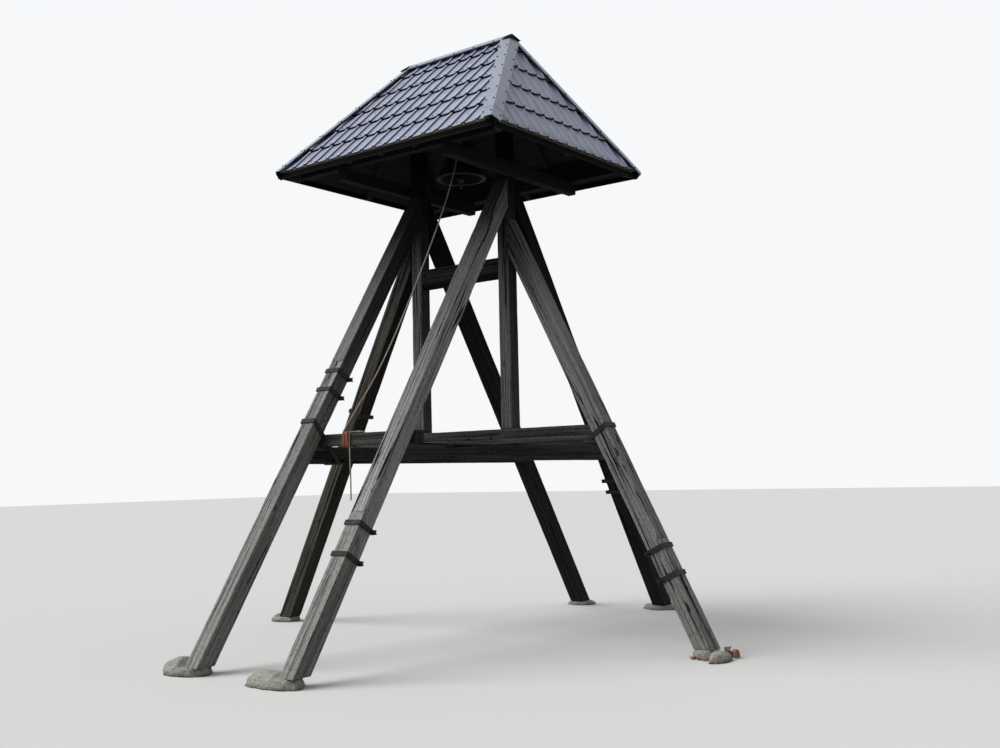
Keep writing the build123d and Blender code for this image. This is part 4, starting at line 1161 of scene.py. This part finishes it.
def fasteners(name, kind, places, sizes, body):
    """Fasteners of one kind at (point, facing) places: washer radius and height, then the head's."""
    tree, identifiers = kind
    points = bpy.data.meshes.new(name + "_places")
    points.from_pydata([place for place, _ in places], [], [])
    facing = points.attributes.new("facing", "FLOAT_VECTOR", "POINT")
    facing.data.foreach_set("vector", [value for _, way in places for value in way])
    mesh = grown_mesh(name, tree, identifiers, dict(zip(identifiers, sizes)), points)
    return finished_piece(name, mesh, body)


screw_steel = iron_material(
    "screw_steel", dark=(0.012, 0.012, 0.016), light=(0.026, 0.026, 0.032), rust=(0.04, 0.03, 0.025),
    rust_share=0.30, metallic=0.0, specular=0.1,
)
screws = fastener_tree("screws", screw_steel, 6)
fasteners("cap_screws", screws, cap_screws, (0.0115, 0.002, 0.007, 0.006), "frame")

sheet_screws = []
for side, (_, _, _, half) in slopes.items():
    length = slope_length(side)
    narrowing = half - (ridge_half_length if side in ("front", "back") else 0)
    row = 0
    rise = first_row
    while rise < length - screw_gap:
        reach = half - rise * narrowing / length - screw_from_hip
        depth = wave_height + course_step * (rise % course_length) / course_length - screw_sink
        wave = math.ceil((-reach - first_crest[side]) / wave_pitch)
        along = first_crest[side] + (wave + trough_middle) * wave_pitch
        while along < reach:
            if (wave + row) % 2 == 0:
                sheet_screws.append((slope_point(side, along, rise, depth), slope_normal(side)))
            wave += 1
            along = first_crest[side] + (wave + trough_middle) * wave_pitch
        row += 1
        rise += course_length
fasteners("sheet_screws", screws, sheet_screws, (0.008, 0.002, 0.005, 0.005), "frame")

# Irons: bands and stirrups forged from flat bar and bolted up round the legs, and the bell's
# bearings, gudgeons, hangers, hoops, lever and clapper, all of black iron with patches of rust.
half_leg = 0.093
band_thickness = 0.010
band_ear = 0.036
bolt_grip = 0.016
post_offset = 0.658
side_leg = (3.320, 5.165)
outer_leg = (2.399, 4.698)
flange_thickness = 0.012
upper_bolt_out = 0.045
upper_bolt_drop = 0.017
lower_bolt_out = 0.040
lower_bolt_rise = 0.025
lever_plate = 0.010
lever_bolt_drop = 0.016
lever_bolt_rise = 0.013
black_iron = iron_material(
    "black_iron", dark=(0.010, 0.010, 0.011), light=(0.034, 0.033, 0.034), rust=(0.075, 0.032, 0.016),
    rust_share=0.46,
)
coat_nodes(black_iron, "leg_straps", "bell_straps", "bell_lever", "bearings", "gudgeons", "clapper")
band_bolts = []


def bolted_bands(post_x, outwards, leg, heights):
    """Adds the bolts through the ears of a leg's bands, with the leg as its reach and its apex."""
    reach, apex = leg
    up_leg = (upwards * apex - outwards * reach).normalized()
    sideways = up_leg.cross(outwards).normalized()
    upper = sideways.cross(up_leg)
    upper = upper if upper.z > 0 else -upper
    for height in heights:
        centre = Vector((post_x, 0, height)) + outwards * (reach * (1 - height / apex))
        bar = centre - upper * (half_leg + band_thickness / 2)
        for sign in (-1, 1):
            ear = bar + sideways * sign * (half_leg + band_thickness + band_ear / 2)
            for facing in (upper, -upper):
                band_bolts.append((ear + facing * band_thickness / 2, facing))


bolted_bands(-post_offset, Vector((0, -1, 0)), side_leg, (2.760, 2.970))
bolted_bands(post_offset, Vector((0, -1, 0)), side_leg, (1.090, 1.370))
bolted_bands(post_offset, Vector((1, 0, 0)), outer_leg, (0.780, 1.050))
bolted_bands(-post_offset, Vector((-1, 0, 0)), outer_leg, (2.640,))
bolted_bands(post_offset, Vector((0, 1, 0)), side_leg, (1.640, 1.780))
bolts = fastener_tree("bolts", black_iron, 6)
fasteners("band_bolts", bolts, band_bolts, (0.017, 0.003, 0.012, 0.015), "frame")
bolt_ends = [(place + way * bolt_grip, way) for place, way in band_bolts]
fasteners("band_bolt_ends", bolts, bolt_ends, (0.0065, 0.006, 0.006, 0.008), "frame")

bearing_low, bearing_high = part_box("bearings")
bolt_rows = (
    (upper_bolt_out, bearing_high.z - upper_bolt_drop),
    (lower_bolt_out, bearing_low.z + lower_bolt_rise),
)
bearing_bolts = [
    (Vector((sign * (bearing_high.x - flange_thickness), hand * out, z)), Vector((-sign, 0, 0)))
    for sign in (-1, 1)
    for out, z in bolt_rows
    for hand in (-1, 1)
]
fasteners("bearing_bolts", bolts, bearing_bolts, (0.013, 0.002, 0.009, 0.009), "frame")
lever_low, lever_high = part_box("bell_lever")
lever_x = (lever_low.x + lever_high.x) / 2
lever_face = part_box("headstock")[0].y - lever_plate
lever_bolts = [
    (Vector((lever_x, lever_face, z)), Vector((0, -1, 0)))
    for z in (lever_high.z - lever_bolt_drop, lever_low.z + lever_bolt_rise)
]
fasteners("lever_bolts", bolts, lever_bolts, (0.012, 0.002, 0.008, 0.008), "bell")

# Trenails: split oak pegs, driven through the joints of the posts, cross-piece and ties.
# They are left a little proud and tarred with the timbers.
trenail_radius = 0.013
trenail_proud = 0.012
trenail_shoulder = 0.004
trenail_sink = 0.001
tie_low, tie_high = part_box("front_tie")
cross_low, cross_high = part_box("cross_piece")
trenail_places = [
    (Vector((sign * (cross_high.x - 0.05), facing * (cross_high.y - trenail_sink), height)),
     Vector((0, facing, 0)))
    for sign in (-1, 1)
    for facing in (-1, 1)
    for height in (cross_low.z + 0.085, cross_high.z - 0.065)
]
tie_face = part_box("centre_tie_left")[1].y
for x in (-post_offset - 0.035, -post_offset + 0.04, 0.10, 0.42):
    trenail_places.append((Vector((x, trenail_sink - tie_face, tie_low.z + 0.08)), Vector((0, -1, 0))))
trenail_sizes = (
    trenail_radius, trenail_shoulder, trenail_radius * 0.86, trenail_proud - trenail_shoulder,
)
trenails = fastener_tree("trenails", tarred_oak, 8)
fasteners("trenails", trenails, trenail_places, trenail_sizes, "frame")

# Bell: cast bronze, dark brown after years outdoors and painted nearly black as the shade it hangs in,
# with green runs down its sides. Fine turning marks go round it.
bell_material, bell_tree, bell_output = new_material("bell_bronze")
bell_place = object_place(bell_tree)
bell_patch = stretched_noise(bell_tree, bell_place, (7, 7, 4))
bell_run = stretched_noise(bell_tree, bell_place, (42, 42, 2.5), detail=4)
bell_turning = stretched_noise(bell_tree, bell_place, (2, 2, 260), detail=2)
# Painted shade: the bronze is near black, as the bell hangs in the roof's shade.
bronze_in_shade = ramp(bell_tree, bell_patch, (0.35, (0.006, 0.0055, 0.0045)), (0.72, (0.018, 0.015, 0.010)))
bell_streak = ramp(bell_tree, bell_run, (0.46, 0), (0.66, 0.8))
bell_colour = blended(bell_tree, bell_streak, bronze_in_shade, (0.010, 0.014, 0.011))
bell_gloss = ramp(bell_tree, bell_patch, (0.3, 0.62), (0.7, 0.85))
finished(bell_tree, bell_output, bell_colour, bell_gloss, bell_turning, bump=0.0006, specular=0.1,
         metallic=0.1)
coat_nodes(bell_material, "bell")

# Roof timbers: the bearers, the plates and the ridge board that carry the rafters.
# They are of sawn softwood, painted darker than the boards as the shade under the roof.
# Painted shade: darker than the boards, as the beams stand in the roof's shade.
shaded_beam_timber = softwood_material(
    "shaded_beam_timber", dark=(0.022, 0.023, 0.025), light=(0.044, 0.046, 0.049), green=(0.032, 0.037, 0.026),
)
coat_nodes(shaded_beam_timber, "bearers", "plates", "ridge_board")

# Field stones: granite boulders under the feet, rounded, speckled and spotted with pale lichen.
# Three of them rise to a hump beside the foot, and a loose one lies by the right foot.
hump_fall = 0.09
stone_skin = 0.0008
stone_draw = 0.93
broad_swell = 0.12
broad_waves = 1.4
small_swell = 0.06
small_waves = 3.1
lump_waves = 14
pit_waves = 50
edge_fade = 0.02
foot_fade = 0.01


def granite_material():
    """Grey granite with dark and pale grains, lichen in round spots and damp earth at its foot."""
    material, tree, output = new_material("granite")
    place = object_place(tree)
    grain = stretched_noise(tree, place, (120, 120, 120), detail=4, roughness=0.7)
    patch = stretched_noise(tree, place, (9, 9, 9), detail=5)
    spots = add_node(tree, "ShaderNodeTexVoronoi", Vector=place, Scale=22).outputs["Distance"]
    colour = ramp(tree, grain, (0.38, (0.11, 0.11, 0.10)), (0.49, (0.34, 0.34, 0.305)),
                  (0.60, (0.60, 0.59, 0.53)))
    lichen = combined(tree, "LESS_THAN", spots, 0.30)
    lichen = product(tree, lichen, ramp(tree, patch, (0.48, 0), (0.60, 0.8)))
    colour = blended(tree, lichen, colour, (0.50, 0.52, 0.42))
    height = add_node(tree, "ShaderNodeSeparateXYZ", Vector=place).outputs["Z"]
    damp = ramp(tree, height, (0.0, 0.65), (0.045, 0))
    colour = blended(tree, damp, colour, (0.060, 0.060, 0.034))
    finished(tree, output, colour, 0.86, combined(tree, "ADD", grain, patch), bump=0.003, specular=0.25)
    return material


granite = granite_material()
stones_made = []


def boulder(name, place, half_size, lean, height, hump=None, foot_edge=None, loose=False):
    """A boulder under a foot: low there, and up to its hump beyond the foot's edge, if it has one."""
    number = len(stones_made)
    stones_made.append(name)
    hump = height if hump is None else hump
    work = bmesh.new()
    bmesh.ops.create_icosphere(work, subdivisions=5, radius=1)
    for vertex in work.verts:
        ball = vertex.co.copy()
        broad_place = Vector((ball.x, ball.y, 0)) * broad_waves + Vector((number * 7.1, 0, 0))
        small_place = ball * small_waves + Vector((0, number * 3.3, 0))
        swell = 1 + broad_swell * noise.noise(broad_place)
        swell += small_swell * noise.noise(small_place)
        side = Vector((ball.x * half_size[0], ball.y * half_size[1], 0)) * swell * stone_draw
        side.rotate(Matrix.Rotation(lean, 3, "Z"))
        away = 0.0
        if foot_edge is not None:
            away = min(1.0, max(0.0, (foot_edge - place[0] - side.x) / hump_fall))
        ceiling = height + (hump - height) * away * away * (3 - 2 * away) - stone_skin
        if loose:
            rise = max(0.0, ball.z) ** 0.8 * hump * (1 - 0.1 * ball.x)
        elif hump == height:
            rise = max(0.0, ball.z) ** 1.1 * height * 1.7
        else:
            rise = max(0.0, ball.z) ** 1.1 * (hump * (0.98 - 0.22 * ball.x) + height * (1 - away))
        rise = min(rise, ceiling)
        surface = Vector((side.x, side.y, rise))
        lump = noise.noise(surface * lump_waves + Vector((number, 0, 0)))
        pit = noise.noise(surface * pit_waves)
        above_foot = min(1.0, rise / foot_fade)
        under_top = min(1.0, (ceiling - rise) / edge_fade)
        side *= 1 + (lump * 0.06 + pit * 0.016) * above_foot
        rise = max(0.0, rise + (lump * 0.012 + pit * 0.003) * under_top * above_foot)
        vertex.co = Vector((place[0] + side.x, place[1] + side.y, min(rise, ceiling)))
    bmesh.ops.remove_doubles(work, verts=work.verts, dist=2e-4)
    flat_faces = [face for face in work.faces if all(vertex.co.z < 1e-6 for vertex in face.verts)]
    bmesh.ops.delete(work, geom=flat_faces, context="FACES")
    fill_holes(work)
    bmesh.ops.triangulate(work, faces=[face for face in work.faces if len(face.verts) > 4])
    outwards_faces(work)
    mesh = mesh_from(work, "stone_" + name, granite)
    mesh.shade_smooth()
    piece = finished_piece("stone_" + name, mesh, "frame")
    if not loose:
        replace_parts(piece, "stones_" + name.split("_")[0])


boulder("front_left", (-0.825, -3.275), (0.300, 0.185), lean=0.15, height=0.080, hump=0.165, foot_edge=-0.770)
boulder("front_right", (0.400, -3.268), (0.385, 0.205), lean=-0.05, height=0.095, hump=0.135, foot_edge=0.545)
boulder("outer_right", (3.012, 0.000), (0.165, 0.135), lean=0.30, height=0.085)
boulder("outer_left", (-3.100, 0.000), (0.215, 0.190), lean=0.10, height=0.060, hump=0.10, foot_edge=-3.125)
boulder("back_left", (-0.658, 3.320), (0.215, 0.190), lean=-0.20, height=0.050)
boulder("back_right", (0.620, 3.330), (0.270, 0.205), lean=0.15, height=0.060)
boulder("outer_right_loose", (3.224, -0.150), (0.100, 0.190), lean=0.0, height=0.100, loose=True)

# Broken bricks: pieces of red brick with patches of old mortar, lying round the right foot and
# its boulder. Each is a rough block with its arrises knocked off.
brick_red = (0.52, 0.25, 0.165)
brick_dark = (0.26, 0.11, 0.075)
brick_mortar = (0.45, 0.42, 0.36)
shard_points = 16
shard_squareness = 0.35
shard_middle = 0.57
shard_round = 0.0015
brick_material, brick_tree, brick_output = new_material("broken_brick")
brick_place = object_place(brick_tree)
brick_grain = stretched_noise(brick_tree, brick_place, (70, 70, 70), detail=5)
brick_patch = stretched_noise(brick_tree, brick_place, (19, 19, 19), detail=3)
brick_colour = ramp(brick_tree, brick_grain, (0.36, brick_dark), (0.58, brick_red))
brick_skin = ramp(brick_tree, brick_patch, (0.52, 0), (0.64, 0.7))
brick_colour = blended(brick_tree, brick_skin, brick_colour, brick_mortar)
finished(brick_tree, brick_output, brick_colour, 0.9, brick_grain, bump=0.002, specular=0.2)
bricks = bmesh.new()
chance = np.random.default_rng(11)


def shard(x, y, size, lean):
    """Adds one piece of brick: the hull of random points near the skin of a block."""
    chunk = bmesh.new()
    for _ in range(shard_points):
        way = Vector(chance.uniform(-1, 1, 3))
        way = Vector([math.copysign(abs(value) ** shard_squareness, value) for value in way])
        way = Vector((way.x * size[0], way.y * size[1], way.z * size[2])) * 0.5
        way.rotate(Matrix.Rotation(lean, 3, "Z"))
        chunk.verts.new(Vector((x, y, size[2] * shard_middle)) + way)
    hull = bmesh.ops.convex_hull(chunk, input=chunk.verts[:])
    loose = [part for part in hull["geom_interior"] if isinstance(part, bmesh.types.BMVert)]
    bmesh.ops.delete(chunk, geom=loose, context="VERTS")
    bmesh.ops.bevel(chunk, geom=chunk.edges[:], offset=shard_round, segments=1, affect="EDGES")
    add_part(bricks, chunk)


shard(3.165, 0.125, size=(0.085, 0.065, 0.060), lean=0.4)
shard(3.235, 0.150, size=(0.080, 0.070, 0.070), lean=-0.3)
shard(3.285, 0.085, size=(0.060, 0.050, 0.090), lean=0.9)
shard(3.200, 0.075, size=(0.070, 0.050, 0.110), lean=0.2)
shard(3.135, -0.150, size=(0.065, 0.050, 0.040), lean=1.3)
shard(3.085, -0.190, size=(0.055, 0.045, 0.030), lean=0.2)
shard(3.020, -0.165, size=(0.060, 0.045, 0.035), lean=0.7)
shard(2.935, -0.160, size=(0.050, 0.040, 0.030), lean=-0.5)
outwards_faces(bricks)
brick_mesh = mesh_from(bricks, "broken_bricks", brick_material)
finished_piece("broken_bricks", brick_mesh, "frame")

# Bell rope: laid rope of three strands, sagging a little from the lever's eye to the front tie.
# It is wound round the tie, dyed red there, with a bight left along the tie's top and the loose
# end hanging in front.
rope_radius = 0.008
rope_lay = 0.055
strand_depth = 0.14
rope_step = 0.007
rope_sides = 15
tie_gap = 0.0045
corner_run = 0.045
rope_sag = 0.158
turn_tops = (0.010, 0.030, 0.050, 0.067)
turn_feet = (0.000, 0.026, 0.056, 0.077)
last_top = 0.097
bight_tip = -0.055
bight_back = 0.035
bight_front = 0.018
bight_curve = 0.06
dye_margin = 0.02
blend_run = 0.9
hang_lead = 0.1
front_slant = 0.3
rope_pale = (0.60, 0.49, 0.44)
rope_red = (0.55, 0.225, 0.150)
rope_dirt = (0.17, 0.10, 0.075)
rope_low, rope_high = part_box("rope")
tail_low, tail_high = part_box("rope_tail")
lever_eye = Vector((rope_high.x - rope_radius, rope_high.y - rope_radius, rope_high.z))
front_y = tie_low.y - rope_radius - tie_gap
back_y = tie_high.y + rope_radius + tie_gap
low_z = tie_low.z - rope_radius - tie_gap
high_z = tie_high.z + rope_radius + tie_gap
first_turn = rope_low.x + rope_radius
last_turn = first_turn + last_top
tail_x = (tail_low.x + tail_high.x) / 2


def tie_turn(top_x, foot_x, next_x):
    """Route points of one turn: down the front, under, up the back and over the top of the tie."""
    shift = (next_x - foot_x) / 3
    return [
        (top_x + front_slant * (foot_x - top_x), front_y, high_z - corner_run),
        (foot_x, front_y, low_z + corner_run),
        (foot_x, front_y, low_z),
        (foot_x, front_y + corner_run, low_z),
        (foot_x + shift, back_y - corner_run, low_z),
        (foot_x + shift, back_y, low_z),
        (foot_x + shift, back_y, low_z + corner_run),
        (foot_x + 2 * shift, back_y, high_z - corner_run),
        (foot_x + 2 * shift, back_y, high_z),
        (foot_x + 2 * shift, back_y - corner_run, high_z),
        (next_x, front_y + corner_run, high_z),
        (next_x, front_y, high_z),
    ]


hang_end = Vector((first_turn + turn_tops[0], front_y, high_z))
hang_run = hang_end - lever_eye
hang_down = hang_run.cross(upwards.cross(hang_run)).normalized()
hang_down = hang_down if hang_down.z < 0 else -hang_down
upper_bend = lever_eye + hang_run / 4 + hang_down * rope_sag
lower_bend = lever_eye + hang_run * 3 / 4 + hang_down * rope_sag
upper_way = (upper_bend - lever_eye).normalized()
lower_way = (hang_end - lower_bend).normalized()
rope_points = [
    lever_eye, lever_eye + upper_way * hang_lead, upper_bend,
    lower_bend, hang_end - lower_way * hang_lead, hang_end,
]
for top_x, foot_x, next_top in zip(turn_tops, turn_feet, turn_tops[1:] + (last_top,)):
    rope_points += tie_turn(first_turn + top_x, first_turn + foot_x, first_turn + next_top)
rope_points = rope_points[:-2]
rope_points += [
    (last_turn + 0.02, back_y - bight_back - 0.01, high_z + 0.010),
    (bight_tip - bight_curve, back_y - bight_back, high_z + 0.004),
    (bight_tip, back_y - bight_back, high_z - 0.002),
    (bight_tip, (front_y + back_y) / 2, high_z - 0.002),
    (bight_tip, front_y + bight_front + 0.01, high_z - 0.002),
    (bight_tip - bight_curve, front_y + bight_front, high_z),
    (tail_x + bight_curve, front_y + bight_front, high_z + 0.001),
    (tail_x + 0.01, front_y + bight_front, high_z),
    (tail_x, front_y, high_z - 0.01),
    (tail_x, front_y, high_z - 2 * corner_run),
    (tail_x, front_y, low_z - corner_run),
    (tail_x + 0.006, front_y + 0.006, (low_z + tail_low.z) / 2),
    (tail_x + 0.010, front_y + 0.004, tail_low.z + 0.002),
]


def route_line(points):
    """A smooth spline through the route, read back as evenly spaced points."""
    curve = bpy.data.curves.new("route", "CURVE")
    curve.dimensions = "3D"
    curve.resolution_u = 16
    spline = curve.splines.new("NURBS")
    spline.points.add(len(points) - 1)
    for point, place in zip(spline.points, points):
        point.co = (*place, 1)
    spline.order_u = 3
    spline.use_endpoint_u = True
    holder = bpy.data.objects.new("route", curve)
    mesh = bpy.data.meshes.new_from_object(holder)
    line = np.array([vertex.co for vertex in mesh.vertices])
    bpy.data.objects.remove(holder)
    bpy.data.meshes.remove(mesh)
    along = np.concatenate([[0], np.cumsum(np.linalg.norm(np.diff(line, axis=0), axis=1))])
    places = np.linspace(0, along[-1], math.ceil(along[-1] / rope_step) + 1)
    return np.stack([np.interp(places, along, line[:, axis]) for axis in range(3)], axis=1), places


def rope_material():
    """Pale laid rope, dyed red where it is wound, with dirt in stains and between the strands."""
    material, tree, output = new_material("bell_rope")
    place = object_place(tree)
    groove = attribute(tree, "groove")
    fibre = stretched_noise(tree, place, (330, 330, 330), detail=3)
    stain = stretched_noise(tree, place, (16, 16, 9), detail=4)
    colour = blended(tree, attribute(tree, "dye"), rope_pale, rope_red)
    colour = blended(tree, ramp(tree, stain, (0.45, 0), (0.75, 0.5)), colour, rope_dirt)
    colour = blended(tree, ramp(tree, groove, (0.0, 0.75), (0.5, 0)), colour, rope_dirt)
    height = combined(tree, "ADD", fibre, groove)
    finished(tree, output, colour, 0.92, height, bump=0.0012, specular=0.15)
    return material


laid_rope = rope_material()


def rope_mesh(name, line, places, radius):
    """A tube of three twisted strands along a line, closed at both ends."""
    tangents = np.gradient(line, axis=0)
    tangents /= np.linalg.norm(tangents, axis=1)[:, None]
    side = Vector(tangents[0]).orthogonal().normalized()
    vertices = []
    lobes = []
    for centre, tangent, place in zip(line, tangents, places):
        tangent = Vector(tangent)
        side = (side - tangent * side.dot(tangent)).normalized()
        other = tangent.cross(side)
        for number in range(rope_sides):
            angle = 2 * math.pi * number / rope_sides
            lobe = math.cos(3 * (angle - 2 * math.pi * place / rope_lay))
            reach = radius * (1 - strand_depth / 2 + strand_depth / 2 * lobe)
            vertices.append(Vector(centre) + (side * math.cos(angle) + other * math.sin(angle)) * reach)
            lobes.append(0.5 + 0.5 * lobe)
    faces = []
    for ring in range(len(line) - 1):
        for number in range(rope_sides):
            a = ring * rope_sides + number
            b = ring * rope_sides + (number + 1) % rope_sides
            faces.append((a, b, b + rope_sides, a + rope_sides))
    faces.append(tuple(range(rope_sides))[::-1])
    faces.append(tuple(len(vertices) - rope_sides + number for number in range(rope_sides)))
    mesh = bpy.data.meshes.new(name)
    mesh.from_pydata(vertices, [], faces)
    dyed = [
        float(low_z - dye_margin < vertex.z < high_z + dye_margin and vertex.y < front_y + dye_margin)
        for vertex in vertices
    ]
    mesh.attributes.new("groove", "FLOAT", "POINT").data.foreach_set("value", lobes)
    mesh.attributes.new("dye", "FLOAT", "POINT").data.foreach_set("value", dyed)
    mesh.shade_smooth()
    mesh.materials.append(laid_rope)
    piece = bpy.data.objects.new(name, mesh)
    scene.collection.objects.link(piece)
    return piece


rope_line, rope_places = route_line(rope_points)
bell_rope = rope_mesh("bell_rope", rope_line, rope_places, rope_radius)
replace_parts(bell_rope, "rope", "rope_turns", "rope_tail")
blend_start = lever_eye + upper_way * blend_run
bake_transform(bell_rope, "frame", "bell", start=blend_start, end=lever_eye)

# Knot at the lever: the rope passes up through the eye and back down, and its end is wound round
# itself in four close turns.
knot_turns = 4
knot_pitch = 0.0135
knot_thinner = 0.72
seizing_top = -0.050
seizing_radius = 0.0165
seizing_steps = 12
bow = 0.0170
eye_centre = Vector((lever_eye.x, lever_eye.y, lever_eye.z + 0.0233))
knot_points = [
    eye_centre + Vector((-bow * 0.55, 0, -0.075)),
    eye_centre + Vector((-bow, 0, -0.045)),
    eye_centre + Vector((-bow, 0, -0.012)),
    eye_centre + Vector((-bow * 0.9, 0, 0.006)),
    eye_centre + Vector((bow * 0.9, 0, 0.006)),
    eye_centre + Vector((bow, 0, -0.012)),
    eye_centre + Vector((bow, 0, -0.040)),
    eye_centre + Vector((bow * 0.9, 0, seizing_top)),
]
for step in range(knot_turns * seizing_steps):
    angle = 2 * math.pi * step / seizing_steps
    drop = seizing_top - knot_pitch * step / seizing_steps
    round_rope = Vector((math.cos(angle) * seizing_radius, math.sin(angle) * seizing_radius, drop))
    knot_points.append(eye_centre + round_rope)
knot_points.append(eye_centre + Vector((0.030, 0.004, seizing_top - knot_pitch * knot_turns - 0.02)))
knot_line, knot_places = route_line(knot_points)
rope_knot = rope_mesh("rope_knot", knot_line, knot_places, rope_radius * knot_thinner)
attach(rope_knot, "bell")
